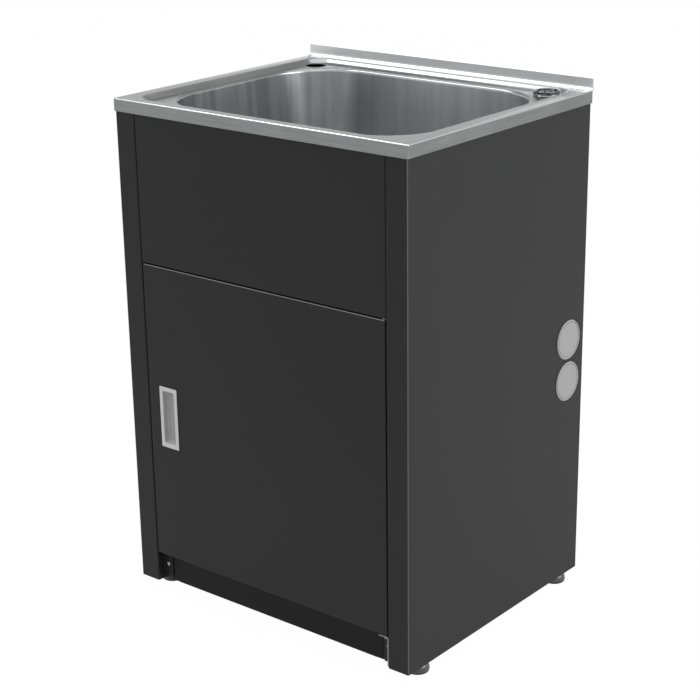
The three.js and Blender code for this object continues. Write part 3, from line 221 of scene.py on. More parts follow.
class Graph:
    """The node tree of a material or of the world, and where its nodes are made."""

    def __init__(self, owner: Union[bpy.types.Material, bpy.types.World]) -> None:
        """Starts an empty tree.

        Args:
            owner: The material or world that gets the tree.
        """
        owner.use_nodes = True
        self.tree = owner.node_tree
        self.tree.nodes.clear()

    def node(self, kind: str, settings: dict | None = None, sockets: dict | None = None) -> bpy.types.Node:
        """Makes one node.

        Args:
            kind: The node's type.
            settings: Its own settings, set first; stops are a ramp's (place, grey) pairs.
            sockets: Values or links by input name or number.

        Returns:
            The node.
        """
        made = self.tree.nodes.new(kind)
        for key, value in (settings or {}).items():
            if key == "stops":
                for element, (place, grey) in zip(made.color_ramp.elements, value):
                    element.position = place
                    element.color = (grey, grey, grey, 1.0)
            else:
                setattr(made, key, value)
        for key, value in (sockets or {}).items():
            link = value.socket if isinstance(value, Signal) else value
            if isinstance(link, Socket):
                self.tree.links.new(link, made.inputs[key])
            else:
                made.inputs[key].default_value = value
        return made

    def signal(
        self, output: Union[int, str], kind: str, settings: dict | None = None, sockets: dict | None = None
    ) -> Signal:
        """One output of a new node, which is made as node makes it."""
        return Signal(self, self.node(kind, settings, sockets).outputs[output])

    def noise(self, pattern: Pattern) -> Signal:
        """Noise on the piece's Object coordinates.

        Args:
            pattern: The noise's sizes.

        Returns:
            The noise, about 0.5 on average.
        """
        place = self.node("ShaderNodeTexCoord").outputs["Object"]
        mapping = self.node("ShaderNodeMapping", None, {"Vector": place, "Scale": pattern.stretch})
        vector = mapping.outputs["Vector"]
        sockets = {"Vector": vector, "Scale": pattern.scale, "Detail": pattern.detail}
        return self.signal(0, "ShaderNodeTexNoise", None, sockets)

    def height(self, output: str) -> Signal:
        """The Z part of one of the Texture Coordinate node's outputs."""
        place = self.node("ShaderNodeTexCoord").outputs[output]
        return self.signal("Z", "ShaderNodeSeparateXYZ", None, {0: place})

    def attribute(self, name: str) -> Signal:
        """A number stored on the mesh's points, by its attribute's name."""
        return self.signal("Fac", "ShaderNodeAttribute", {"attribute_name": name})

    def steps(self, amount: Signal, stops: Sequence[Point]) -> Signal:
        """Maps a number through a ramp of two (place, result) stops."""
        return self.signal("Color", "ShaderNodeValToRGB", {"stops": stops}, {"Fac": amount})

    def blend(self, amount: Signal, low: Union[Colour, Socket], high: Union[Colour, Socket]) -> Socket:
        """Mixes two colours.

        Args:
            amount: 0 for the first colour, 1 for the second.
            low: The first colour, fixed or a socket.
            high: The second colour, fixed or a socket.

        Returns:
            The mixed colour's socket.
        """
        first, second = ((*end, 1.0) if isinstance(end, tuple) else end for end in (low, high))
        settings = {"data_type": "RGBA", "clamp_factor": True}
        return self.node("ShaderNodeMix", settings, {0: amount, 6: first, 7: second}).outputs[2]

    def tones(self, amount: Signal, colour: Colour, dark: float, light: float) -> Socket:
        """Mixes two tones of a colour.

        Args:
            amount: 0 for the first tone, 1 for the second.
            colour: The colour.
            dark: What it is multiplied by for the first tone.
            light: What it is multiplied by for the second tone.

        Returns:
            The mixed colour's socket.
        """
        return self.blend(amount, shade(colour, dark), shade(colour, light))

    def bump(self, height: Signal, strength: float, distance: float) -> Socket:
        """Turns a height into a normal.

        Args:
            height: The height, from 0 to 1.
            strength: How much of it shows.
            distance: What a height of 1 is in metres.

        Returns:
            The normal's socket.
        """
        sockets = {"Height": height, "Strength": strength, "Distance": distance}
        return self.node("ShaderNodeBump", None, sockets).outputs["Normal"]

    def surface(self, **sockets: object) -> None:
        """Ends the tree in one Principled shader.

        Args:
            sockets: Its inputs, named with _ for a space.
        """
        named = {key.replace("_", " "): value for key, value in sockets.items()}
        shader = self.node("ShaderNodeBsdfPrincipled", None, named)
        self.node("ShaderNodeOutputMaterial", None, {"Surface": shader.outputs[0]})


def shade(colour: Colour, factor: float) -> Colour:
    """A colour multiplied by a factor, at most 1 in each part."""
    return tuple(min(part * factor, 1.0) for part in colour)


# Finishes


@dataclass(frozen=True)
class Finish:
    """What every finish has: its look, slot, colour and roughness."""

    look: Look
    slot: Slot
    colour: Colour
    roughness: float

    def material(self) -> bpy.types.Material:
        """Makes the finish's material.

        Returns:
            The material.
        """
        made = bpy.data.materials.new(self.look.value)
        self.weave(Graph(made))
        return made

    def weave(self, graph: Graph) -> None:
        """Fills the material's empty node tree.

        Args:
            graph: The empty tree.
        """
        raise NotImplementedError


@dataclass(frozen=True)
class PowderCoat(Finish):
    """Baked powder: an even satin coat with orange peel, a faint cloudiness and a painted highlight on marked
    bends.
    """

    shine: float = 0.23
    # edge: colour of the painted highlight on marked bends
    edge: Colour = (0.34, 0.34, 0.34)
    cloud: Pattern = Pattern(7.0, 3.0)
    speck: Pattern = Pattern(2600.0, 1.0)
    peel: Pattern = Pattern(520.0, 2.0)
    cloud_share: float = 0.55
    cloud_rough: float = 0.12
    speck_rough: float = 0.06
    peel_share: float = 0.8
    peel_strength: float = 0.22
    peel_depth: float = 0.00012
    tones: Point = (0.72, 1.3)
    highlight_tones: Point = (0.9, 1.1)

    def weave(self, graph: Graph) -> None:
        """Cloudy colour, fine specks, the low waves of orange peel, and a painted highlight on the bends that
        the bend attribute marks.

        Args:
            graph: The empty tree.
        """
        cloud, speck, peel = map(graph.noise, (self.cloud, self.speck, self.peel))
        mottle = cloud.mixed(speck, self.cloud_share)
        coat = graph.tones(mottle, self.colour, *self.tones)
        # painted highlight: the bend attribute blends the coat towards the pale edge colour
        painted_bend_highlight = graph.tones(mottle, self.edge, *self.highlight_tones)
        graph.surface(
            Base_Color=graph.blend(graph.attribute("bend"), coat, painted_bend_highlight),
            Roughness=cloud.swing(self.cloud_rough) + speck.swing(self.speck_rough) + self.roughness,
            Normal=graph.bump(peel.mixed(speck, self.peel_share), self.peel_strength, self.peel_depth),
            Specular_IOR_Level=self.shine,
        )


@dataclass(frozen=True)
class BrushedSteel(Finish):
    """Stainless sheet: brushed rim; satin bowl with painted light, shade and streaks of reflection; polished
    outer bend; painted highlights on the bend and upstand.
    """

    # painted light: how much brighter the bowl's steel is than the rim's
    bowl: float = 1.98
    # painted highlight: the outer bend's colour as a multiple of the steel's
    bend: float = 2.6
    # painted highlight: how far the upstand's colour goes towards the bend's
    raised: float = 0.9
    along: float = 9.0
    across: float = 420.0
    octaves: float = 4.0
    # upright streaks: painted reflection in the bowl's colour, and part of its bump
    marks: Pattern = Pattern(60.0, 3.0, (1.0, 1.0, 0.05))
    mark_stops: tuple[Point, Point] = ((0.36, 0.0), (0.64, 1.0))
    smudge: Pattern = Pattern(11.0, 4.0)
    calm: float = 0.9
    deck_share: float = 0.6
    bowl_shares: Place = (0.1, 0.6, 0.3)
    deck_tones: Point = (0.62, 1.42)
    # painted shade: end_tones darken the left and right walls, side_tones light the front and back
    end_tones: Point = (0.55, 1.05)
    side_tones: Point = (0.65, 1.5)
    fine_rough: float = 0.16
    smudge_rough: float = 0.1
    bowl_rough: float = 0.08
    bend_rough: float = -0.10
    raised_rough: float = 0.28
    scratch_share: float = 0.75
    scratch_strength: float = 0.25
    scratch_depth: float = 0.00005

    def weave(self, graph: Graph) -> None:
        """Scratches along the grain, painted upright streaks of reflection in the bowl that also bump it,
        smudges, and painted light, shade and highlights.

        Args:
            graph: The empty tree.
        """
        turn, bowl, bend, raised = map(graph.attribute, ("grain_turn", "bowl", "bend", "raised"))
        thin = self.across / self.along
        fine_x = graph.noise(Pattern(self.along, self.octaves, (1.0, thin, thin)))
        fine_y = graph.noise(Pattern(self.along, self.octaves, (thin, 1.0, thin)))
        fine = fine_x * (1.0 - turn) + fine_y * turn
        marks, smudge = graph.noise(self.marks), graph.noise(self.smudge)
        # painted reflection: upright streaks in the bowl's tone, stepped hard on the left and right walls
        streaks = marks * (1.0 - turn) + graph.steps(marks, self.mark_stops) * turn
        fine_share, streak_share, smudge_share = self.bowl_shares
        drawn = fine * fine_share + streaks * streak_share + smudge * smudge_share
        tone = fine.mixed(smudge, self.deck_share) * (1.0 - bowl) + drawn * bowl
        plane = (1.0 - bowl * self.calm) * (1.0 - bend * self.calm)
        # painted light: the bowl's steel is a brighter copy of the rim's
        pale = shade(self.colour, self.bowl)
        deck = graph.tones(tone, self.colour, *self.deck_tones)
        sides = graph.tones(tone, pale, *self.side_tones)
        # painted shade: the left and right walls take the darker end tones
        walls = graph.blend(turn, sides, graph.tones(tone, pale, *self.end_tones))
        # painted highlight: the outer bend's and the upstand's colour
        edge = graph.tones(tone, self.colour, self.bend, self.bend)
        rough = fine.swing(self.fine_rough) * plane + smudge.swing(self.smudge_rough)
        zones = bowl * self.bowl_rough + bend * self.bend_rough + raised * self.raised_rough
        scratches = (fine * plane).mixed(marks * bowl, self.scratch_share)
        graph.surface(
            Base_Color=graph.blend(bend + raised * self.raised, graph.blend(bowl, deck, walls), edge),
            Roughness=rough + zones + self.roughness,
            Normal=graph.bump(scratches, self.scratch_strength, self.scratch_depth),
            Metallic=1.0,
        )


@dataclass(frozen=True)
class Plating(Finish):
    """Bright metal plating with faint ripple and handling marks."""

    ripple: float = 0.00004
    mottle: float = 0.06
    cloud: Pattern = Pattern(90.0, 3.0)
    grain: Pattern = Pattern(1400.0, 2.0)
    cloud_share: float = 0.5
    strength: float = 0.3

    def weave(self, graph: Graph) -> None:
        """Cloudy roughness over a nearly even colour.

        Args:
            graph: The empty tree.
        """
        cloud, grain = graph.noise(self.cloud), graph.noise(self.grain)
        graph.surface(
            Base_Color=graph.tones(cloud, self.colour, 1.0 - 2 * self.mottle, 1.0),
            Roughness=cloud.swing(self.mottle) + grain * self.mottle + self.roughness,
            Normal=graph.bump(cloud.mixed(grain, self.cloud_share), self.strength, self.ripple),
            Metallic=1.0,
        )


@dataclass(frozen=True)
class Moulded(Finish):
    """Moulded plastic or rubber: spark-eroded grain and slight flow marks."""

    grain: Pattern = Pattern(1800.0, 2.0)
    depth: float = 0.00003
    strength: float = 0.35
    shine: float = 0.5
    # painted shade: colour factor where the piece is marked hollow
    hollow_shade: float = 1.0
    flow: Pattern = Pattern(24.0, 3.0)
    flow_share: float = 0.7
    flow_rough: float = 0.1
    grain_rough: float = 0.12
    tones: Point = (0.92, 1.06)

    def weave(self, graph: Graph) -> None:
        """A fine even grain with slow changes of tone, and painted shade where it is hollow.

        Args:
            graph: The empty tree.
        """
        flow, grain = graph.noise(self.flow), graph.noise(self.grain)
        tone = flow.mixed(grain, self.flow_share)
        face = graph.tones(tone, self.colour, *self.tones)
        # painted shade in the hollow
        hollow_painted_shade = graph.tones(tone, shade(self.colour, self.hollow_shade), *self.tones)
        graph.surface(
            Base_Color=graph.blend(graph.attribute("hollow"), face, hollow_painted_shade),
            Roughness=grain.swing(self.grain_rough) + flow.swing(self.flow_rough) + self.roughness,
            Normal=graph.bump(grain, self.strength, self.depth),
            Specular_IOR_Level=self.shine,
        )


@dataclass(frozen=True)
class GlossyPad(Finish):
    """A foot of black plastic: a polished dome over a dull sole."""

    sole: float = 0.0031
    grain: Pattern = Pattern(900.0, 2.0)
    grain_rough: float = 0.1
    tones: Point = (0.8, 1.2)
    coat_roughness: float = 0.18
    coat_ior: float = 1.6

    def weave(self, graph: Graph) -> None:
        """Black plastic whose gloss starts above the sole.

        Args:
            graph: The empty tree.
        """
        dome = graph.height("Object") > self.sole
        grain = graph.noise(self.grain)
        graph.surface(
            Base_Color=graph.tones(grain, self.colour, *self.tones),
            Roughness=grain.swing(self.grain_rough) + self.roughness,
            Coat_Weight=dome,
            Coat_Roughness=self.coat_roughness,
            Coat_IOR=self.coat_ior,
        )


@dataclass(frozen=True)
class Sintered(Finish):
    """Pressed and sintered magnet: granular and dull."""

    grain: Pattern = Pattern(900.0, 4.0)
    grain_strength: float = 0.5
    grain_depth: float = 0.0001
    fleck_rough: float = 0.2
    metal: float = 0.3
    fleck_stops: tuple[Point, Point] = ((0.42, 0.0), (0.6, 1.0))
    tones: Point = (0.7, 1.4)

    def weave(self, graph: Graph) -> None:
        """Grains of two tones with a rough surface.

        Args:
            graph: The empty tree.
        """
        grain = graph.noise(self.grain)
        flecks = graph.steps(grain, self.fleck_stops)
        graph.surface(
            Base_Color=graph.tones(flecks, self.colour, *self.tones),
            Roughness=flecks * self.fleck_rough + self.roughness,
            Normal=graph.bump(grain, self.grain_strength, self.grain_depth),
            Metallic=self.metal,
        )


FINISHES: tuple[Finish, ...] = (
    BrushedSteel(Look.STEEL, Slot.STEEL, (0.285, 0.288, 0.291), 0.22),
    Plating(Look.CHROME, Slot.CHROME, (0.40, 0.403, 0.407), 0.10),
    # painted dark reflection: a darker copy of the chrome plating, also smoother
    Plating(Look.DARK_CHROME, Slot.CHROME, (0.19, 0.191, 0.193), 0.05),
    PowderCoat(Look.POWDER, Slot.POWDER, (0.0160, 0.0163, 0.0168), 0.46),
    # painted shade: a darker, less shiny copy of the powder coat for the toe board
    PowderCoat(Look.DEEP_POWDER, Slot.POWDER, (0.0075, 0.0077, 0.0080), 0.42, shine=0.14),
    Plating(Look.ZINC, Slot.ZINC, (0.60, 0.61, 0.62), 0.34, ripple=0.00008, mottle=0.1),
    # painted shade: a half-bright copy of the zinc plating, also rougher
    Plating(Look.DULL_ZINC, Slot.ZINC, (0.30, 0.30, 0.305), 0.42, ripple=0.00008, mottle=0.1),
    Moulded(Look.GREY, Slot.GREY, (0.285, 0.287, 0.285), 0.46),
    # painted shade: the pull's pocket at 0.56 of the colour
    Moulded(Look.PALE_GREY, Slot.GREY, (0.66, 0.662, 0.66), 0.38, hollow_shade=0.56),
    Moulded(Look.WHITE, Slot.WHITE, (0.62, 0.62, 0.60), 0.42),
    GlossyPad(Look.BLACK, Slot.BLACK, (0.008, 0.008, 0.0084), 0.5),
    Moulded(Look.RUBBER, Slot.RUBBER, (0.02, 0.02, 0.02), 0.8, Pattern(1300.0, 2.0), 0.00006),
    Sintered(Look.FERRITE, Slot.FERRITE, (0.045, 0.042, 0.04), 0.55),
)


# Modelling moves


def beside(corner: Point, steps: Sequence[Point]) -> list[Point]:
    """The points that lie (inwards, down) steps from a corner."""
    return [(corner[0] - inwards, corner[1] - down) for inwards, down in steps]


def arc(centre: Point, radii: Point, start: float, end: float, steps: int = 8) -> list[Point]:
    """The points of an arc, which may be flattened.

    Args:
        centre: Its centre.
        radii: Its half width and half height.
        start: Its first angle, in radians.
        end: Its last angle.
        steps: Straight pieces along it.

    Returns:
        The points.
    """
    angles = [start + (end - start) * step / steps for step in range(steps + 1)]
    return [
        (centre[0] + radii[0] * math.cos(angle), centre[1] + radii[1] * math.sin(angle)) for angle in angles
    ]


def thread(first: float, second: float, low: float, high: float, pitch: float) -> list[Point]:
    """The points of a thread's profile.

    Args:
        first: The radius where each turn starts.
        second: The radius half a turn further.
        low: The height of the first turn.
        high: The height that no turn reaches.
        pitch: The height of a turn.

    Returns:
        Two points for each turn, upwards.
    """
    points = []
    height = low
    while height + pitch < high:
        points += [(first, height), (second, height + pitch / 2)]
        height += pitch
    return points


class Bench:
    """The moves that the pieces are modelled with."""

    @staticmethod
    def clear() -> None:
        """Leaves edit mode and deselects everything."""
        Bench.leave()
        bpy.ops.object.select_all(action="DESELECT")

    @staticmethod
    def leave() -> None:
        """Leaves edit mode."""
        if bpy.context.mode != "OBJECT":
            bpy.ops.object.mode_set(mode="OBJECT")

    @staticmethod
    def hold(piece: Piece) -> None:
        """Makes a piece the only selected and active one.

        Args:
            piece: The piece.
        """
        Bench.clear()
        piece.select_set(True)
        bpy.context.view_layer.objects.active = piece

    @staticmethod
    def edit(piece: Piece) -> None:
        """Opens a piece in edit mode with all of it selected.

        Args:
            piece: The piece.
        """
        Bench.hold(piece)
        bpy.ops.object.mode_set(mode="EDIT")
        bpy.ops.mesh.select_all(action="SELECT")

    @staticmethod
    def add(name: str, data: bpy.types.ID) -> Piece:
        """Puts a mesh, curve, lamp or camera into the scene.

        Args:
            name: The name of the object and of its data.
            data: The data.

        Returns:
            The object that holds it.
        """
        data.name = name
        made = bpy.data.objects.new(name, data)
        bpy.context.scene.collection.objects.link(made)
        return made

    @staticmethod
    def named(name: str) -> Piece:
        """Names the piece that was just added and returns it.

        Args:
            name: Its name.

        Returns:
            The piece.
        """
        piece = bpy.context.object
        piece.name = piece.data.name = name
        return piece

    @staticmethod
    def join(pieces: Sequence[Piece]) -> Piece:
        """Joins pieces into the first one and returns it.

        Args:
            pieces: The pieces.

        Returns:
            The first one, which holds them all.
        """
        Bench.hold(pieces[0])
        for piece in pieces[1:]:
            piece.select_set(True)
        bpy.ops.object.join()
        return pieces[0]

    @staticmethod
    def pick(piece: Piece, kind: Pick, wanted: Callable[[object], bool]) -> None:
        """Selects parts of the piece in edit mode.

        Args:
            piece: The piece, in edit mode.
            kind: Whether vertices or edges are looked at.
            wanted: Says whether one of them is selected.
        """
        bpy.ops.mesh.select_mode(type=kind.value)
        bpy.ops.mesh.select_all(action="DESELECT")
        mesh = bmesh.from_edit_mesh(piece.data)
        mesh.normal_update()
        for item in mesh.verts if kind is Pick.VERT else mesh.edges:
            if wanted(item):
                item.select_set(True)
        mesh.select_flush_mode()
        bmesh.update_edit_mesh(piece.data)

    @staticmethod
    def modify(piece: Piece, kind: str, **settings: object) -> None:
        """Adds a modifier and applies it.

        Args:
            piece: The piece.
            kind: The modifier's type.
            settings: Its settings.
        """
        Bench.hold(piece)
        modifier = piece.modifiers.new("shape", kind)
        for key, value in settings.items():
            setattr(modifier, key, value)
        bpy.ops.object.modifier_apply(modifier=modifier.name)

    @staticmethod
    def combine(piece: Piece, tool: Piece, operation: str = "DIFFERENCE") -> None:
        """Cuts a tool out of a piece, or unites them, and removes the tool."""
        Bench.modify(piece, "BOOLEAN", operation=operation, solver="EXACT", object=tool)
        bpy.data.objects.remove(tool)

    @staticmethod
    def thicken(piece: Piece, thickness: float) -> None:
        """Gives a skin a wall behind its faces."""
        Bench.modify(piece, "SOLIDIFY", thickness=thickness, offset=-1.0, use_even_offset=True)

    @staticmethod
    def round_edges(piece: Piece, width: float, angle: float = 40.0) -> None:
        """Rounds every edge that is sharper than an angle, with two faces across it.

        Args:
            piece: The piece.
            width: The rounding's width.
            angle: The least angle between two faces, in degrees.
        """
        limit = math.radians(angle)
        Bench.modify(piece, "BEVEL", width=width, segments=2, limit_method="ANGLE", angle_limit=limit)

    @staticmethod
    def cut_cross(piece: Piece, half: float, width: float, low: float, high: float, turn: float) -> None:
        """Cuts two crossing bars out of a piece that stands on the Z axis.

        Args:
            piece: The piece.
            half: Half of a bar's length.
            width: A bar's width.
            low: Its lower face.
            high: Its upper face.
            turn: The first bar's angle from the X axis, in degrees.
        """
        for angle in (turn, turn + 90.0):
            bar = Bench.slab((-half, -width / 2, low), (half, width / 2, high))
            bar.rotation_euler.z = math.radians(angle)
            Bench.combine(piece, bar)

    @staticmethod
    def fix(piece: Piece) -> None:
        """Puts a piece's place, turn and scale into its mesh."""
        Bench.hold(piece)
        bpy.ops.object.transform_apply(location=True, rotation=True, scale=True)

    @staticmethod
    def settle(piece: Piece, crease: Crease) -> None:
        """Puts a piece's place into its mesh and shades it.

        Args:
            piece: The piece.
            crease: Which edges stay sharp.
        """
        Bench.fix(piece)
        bpy.ops.object.shade_smooth_by_angle(angle=math.radians(crease.value))
        Bench.modify(piece, "WEIGHTED_NORMAL", keep_sharp=True, weight=FACE_WEIGHT)

    @staticmethod
    def aim(piece: Piece, place: Sequence[float], direction: Sequence[float] = UP) -> None:
        """Turns a piece that was drawn along +Z to a direction and puts it in place."""
        turn = Vector(UP).rotation_difference(Vector(direction))
        piece.matrix_world = Matrix.Translation(Vector(place)) @ turn.to_matrix().to_4x4()

    @staticmethod
    def store(piece: Piece, name: str, values: Sequence[float], kind: str = "FLOAT") -> None:
        """Stores a number on each of a piece's points, as an attribute."""
        piece.data.attributes.new(name, kind, "POINT").data.foreach_set("value", values)

    @staticmethod
    def face_out(piece: Piece) -> None:
        """Merges a piece's doubles and makes its faces point outwards.

        Args:
            piece: The piece.
        """
        Bench.edit(piece)
        bpy.ops.mesh.remove_doubles(threshold=SAME_PLACE)
        bpy.ops.mesh.normals_make_consistent(inside=False)
        Bench.leave()

    @staticmethod
    def flip(piece: Piece) -> None:
        """Turns all faces of a piece round.

        Args:
            piece: The piece.
        """
        Bench.edit(piece)
        bpy.ops.mesh.flip_normals()
        Bench.leave()

    @staticmethod
    def chain(outline: Sequence[Point], closed: bool) -> Piece:
        """Draws a line of vertices in the XZ plane and stays in edit mode.

        Args:
            outline: The (x, z) points.
            closed: Whether the last point is joined to the first.

        Returns:
            The object that holds the line.
        """
        Bench.clear()
        bpy.ops.mesh.primitive_plane_add(size=0.001, enter_editmode=True)
        piece = bpy.context.object
        bpy.ops.mesh.select_mode(type="VERT")
        bpy.ops.mesh.select_all(action="SELECT")
        bpy.ops.mesh.merge(type="CENTER")
        bpy.ops.transform.translate(value=(outline[0][0], 0.0, outline[0][1]))
        for (x0, z0), (x1, z1) in zip(outline, outline[1:]):
            bpy.ops.mesh.extrude_verts_indiv()
            bpy.ops.transform.translate(value=(x1 - x0, 0.0, z1 - z0))
        if closed:
            ends = [Vector((x, 0.0, z)) for x, z in (outline[0], outline[-1])]
            Bench.pick(
                piece, Pick.VERT, lambda vert: min((vert.co - end).length for end in ends) < SAME_PLACE
            )
            bpy.ops.mesh.edge_face_add()
        bpy.ops.mesh.select_all(action="SELECT")
        return piece

    @staticmethod
    def turned(
        name: str, outline: Sequence[Point], facets: Facets = Facets.COMMON, hollow: bool = False
    ) -> Piece:
        """Spins an outline round the Z axis.

        Args:
            name: The piece's name.
            outline: Its (radius, height) points, from axis to axis unless it is hollow.
            facets: Faces round the axis.
            hollow: Whether the outline is a closed loop beside the axis.

        Returns:
            The closed piece.
        """
        Bench.chain(outline, hollow)
        piece = Bench.named(name)
        bpy.ops.mesh.spin(steps=facets.value, angle=2 * math.pi, center=(0.0, 0.0, 0.0), axis=UP)
        Bench.face_out(piece)
        return piece

    @staticmethod
    def swept(name: str, outline: Sequence[Point], low: float, high: float) -> Piece:
        """Extrudes an outline drawn in YZ along X.

        Args:
            name: The piece's name.
            outline: Its (y, z) points.
            low: Where it starts along X.
            high: Where it ends.

        Returns:
            The closed piece.
        """
        Bench.chain(outline, True)
        piece = Bench.named(name)
        bpy.ops.mesh.edge_face_add()
        bpy.ops.mesh.extrude_region_move(TRANSFORM_OT_translate={"value": (0.0, high - low, 0.0)})
        Bench.leave()
        swap = Matrix(((0.0, 1.0, 0.0), (1.0, 0.0, 0.0), (0.0, 0.0, 1.0))).to_4x4()
        piece.matrix_world = Matrix.Translation((low, 0.0, 0.0)) @ swap
        Bench.fix(piece)
        Bench.face_out(piece)
        return piece

    @staticmethod
    def drill(
        radius: float,
        low: float,
        high: float,
        facets: Facets = Facets.COMMON,
        spot: Point = (0.0, 0.0),
    ) -> Piece:
        """A round cutter along Z.

        Args:
            radius: Its radius.
            low: Its lower end.
            high: Its upper end.
            facets: Faces round it.
            spot: Its axis's X and Y.

        Returns:
            The cutter.
        """
        Bench.clear()
        place = (*spot, (low + high) / 2)
        bpy.ops.mesh.primitive_cylinder_add(
            radius=radius, depth=high - low, vertices=facets.value, location=place
        )
        return Bench.named("drill")

    @staticmethod
    def slab(low: Place, high: Place) -> Piece:
        """A block to cut with.

        Args:
            low: Its lowest corner.
            high: Its highest corner.

        Returns:
            The block.
        """
        Bench.clear()
        middle = [(a + b) / 2 for a, b in zip(low, high)]
        bpy.ops.mesh.primitive_cube_add(size=1.0, location=middle, enter_editmode=True)
        piece = Bench.named("slab")
        bpy.ops.transform.resize(value=[b - a for a, b in zip(low, high)], center_override=middle)
        Bench.fix(piece)
        return piece

    @staticmethod
    def merged_copy(node: str, name: str) -> Piece:
        """A copy of a CAD node with its loose triangles merged.

        Args:
            node: The CAD node.
            name: The copy's name.

        Returns:
            The copy, ready to be shaped further.
        """
        piece = Bench.add(name, frame["nodes"][node].data.copy())
        Bench.hold(piece)
        if piece.data.has_custom_normals:
            bpy.ops.mesh.customdata_custom_splitnormals_clear()
        Bench.edit(piece)
        bpy.ops.mesh.remove_doubles(threshold=2 * SAME_PLACE)
        bpy.ops.mesh.select_mode(type="EDGE")
        bpy.ops.mesh.dissolve_limited(angle_limit=math.radians(FLAT_ANGLE))
        Bench.leave()
        return piece


class Palette:
    """The finishes as materials, and the last steps that every piece gets."""

    def __init__(self, finishes: Sequence[Finish]) -> None:
        """Makes one material for each finish.

        Args:
            finishes: The finishes, one for each look.
        """
        self.materials = {finish.look: finish.material() for finish in finishes}
        self.slots = {finish.look: finish.slot for finish in finishes}

    def dress(self, piece: Piece, look: Look, node: str) -> None:
        """Gives a piece its finish and hands it to the body of the node it stands for.

        Args:
            piece: The piece, in its place.
            look: Its finish.
            node: The CAD node that it replaces.
        """
        piece.data.materials.clear()
        piece.data.materials.append(self.materials[look])
        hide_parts(node)
        body = frame["nodes"][node]["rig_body"]
        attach(piece, body)
        log.info("%s: %d faces, rides on %s", piece.name, len(piece.data.polygons), body)

    def finish(self, piece: Piece, look: Look, node: str, crease: Crease = Crease.TURNED) -> None:
        """Settles a piece and dresses it.

        Args:
            piece: The piece, in its place.
            look: Its finish.
            node: The CAD node that it replaces.
            crease: Which edges stay sharp.
        """
        Bench.settle(piece, crease)
        self.dress(piece, look, node)

    def soften(self, node: str, name: str, look: Look, width: float) -> None:
        """Rounds the edges of a CAD node's copy and dresses it.

        Args:
            node: The CAD node.
            name: The copy's name.
            look: Its finish.
            width: The rounding's width.
        """
        piece = Bench.merged_copy(node, name)
        Bench.round_edges(piece, width)
        self.finish(piece, look, node, Crease.MOULDED)


# Sub-assemblies


@dataclass(frozen=True)
class Bend:
    """A rounded bend: its width, the faces across it and how full its profile is."""

    width: float
    steps: int
    fullness: float = 0.5


@dataclass(frozen=True)
class Outline:
    """One level of a lofted piece: a rounded rectangle, or a circle round the drain."""

    half: float
    front: float
    back: float
    front_radius: float
    back_radius: float
    height: float
    bend: Bend | None = None
    circle: bool = False

    def inset(self, step: float, height: float, bend: Bend | None = None) -> "Outline":
        """The rectangle that lies inside this one, at another height.

        Args:
            step: How far inside.
            height: Its height.
            bend: Its bend.

        Returns:
            The new level.
        """
        return replace(
            self,
            half=self.half - step,
            front=self.front + step,
            back=self.back - step,
            front_radius=self.front_radius - step,
            back_radius=self.back_radius - step,
            height=height,
            bend=bend,
        )


class Loft:
    """Draws levels as loops of edges and bridges them, rounding the bends between."""

    corner_steps: int = 20

    def draw(self, outline: Outline, ring: int) -> Piece:
        """Draws one level as a loop of edges.

        Args:
            outline: The level.
            ring: The number that its vertices are tagged with.

        Returns:
            The loop.
        """
        Bench.clear()
        if outline.circle:
            bpy.ops.mesh.primitive_circle_add(
                vertices=4 * (self.corner_steps + 1),
                radius=outline.half,
                fill_type="NOTHING",
                location=(0.0, outline.front, outline.height),
            )
            loop = bpy.context.object
        else:
            reach = (outline.back - outline.front) / 2
            place = (0.0, (outline.front + outline.back) / 2, outline.height)
            bpy.ops.mesh.primitive_plane_add(size=2.0, location=place, enter_editmode=True)
            loop = bpy.context.object
            bpy.ops.transform.resize(value=(outline.half, reach, 1.0), center_override=place)
            side, end = outline.half - SAME_PLACE, reach - SAME_PLACE
            for way, radius in ((-1.0, outline.front_radius), (1.0, outline.back_radius)):
                Bench.pick(
                    loop, Pick.VERT, lambda vert: vert.co.y * way > end and abs(vert.co.x) > side
                )
                bpy.ops.mesh.bevel(
                    offset=radius, segments=self.corner_steps, affect="VERTICES", clamp_overlap=False
                )
            bpy.ops.mesh.select_all(action="SELECT")
            bpy.ops.mesh.delete(type="ONLY_FACE")
        Bench.fix(loop)
        Bench.store(loop, "ring", [ring] * len(loop.data.vertices), "INT")
        return loop

    def loft(self, name: str, levels: Sequence[Outline], capped: bool = False) -> Piece:
        """Bridges levels and rounds the bends between them.

        Args:
            name: The piece's name.
            levels: The levels in order.
            capped: Whether the first and the last level are filled.

        Returns:
            The skin through the levels.
        """
        Bench.join([self.draw(outline, ring) for ring, outline in enumerate(levels)])
        piece = Bench.named(name)
        Bench.edit(piece)

        def pick_rings(*rings: int) -> None:
            """Selects the edges that run round these levels."""

            def wanted(edge: bmesh.types.BMEdge) -> bool:
                """True for an edge with both ends on one of the levels.

                Args:
                    edge: The edge.

                Returns:
                    Whether it is picked.
                """
                layer = bmesh.from_edit_mesh(piece.data).verts.layers.int["ring"]
                first, second = (vert[layer] for vert in edge.verts)
                return first == second and first in rings

            Bench.pick(piece, Pick.EDGE, wanted)

        last = len(levels) - 1
        for ring in range(last):
            pick_rings(ring, ring + 1)
            bpy.ops.mesh.bridge_edge_loops(type="SINGLE")
        for ring in (0, last) if capped else ():
            pick_rings(ring)
            bpy.ops.mesh.edge_face_add()
        for ring, level in enumerate(levels):
            if level.bend:
                pick_rings(ring)
                bpy.ops.mesh.bevel(
                    offset=level.bend.width,
                    segments=level.bend.steps,
                    profile=level.bend.fullness,
                    affect="EDGES",
                    clamp_overlap=False,
                )
        Bench.face_out(piece)
        piece.data.attributes.remove(piece.data.attributes["ring"])
        return piece


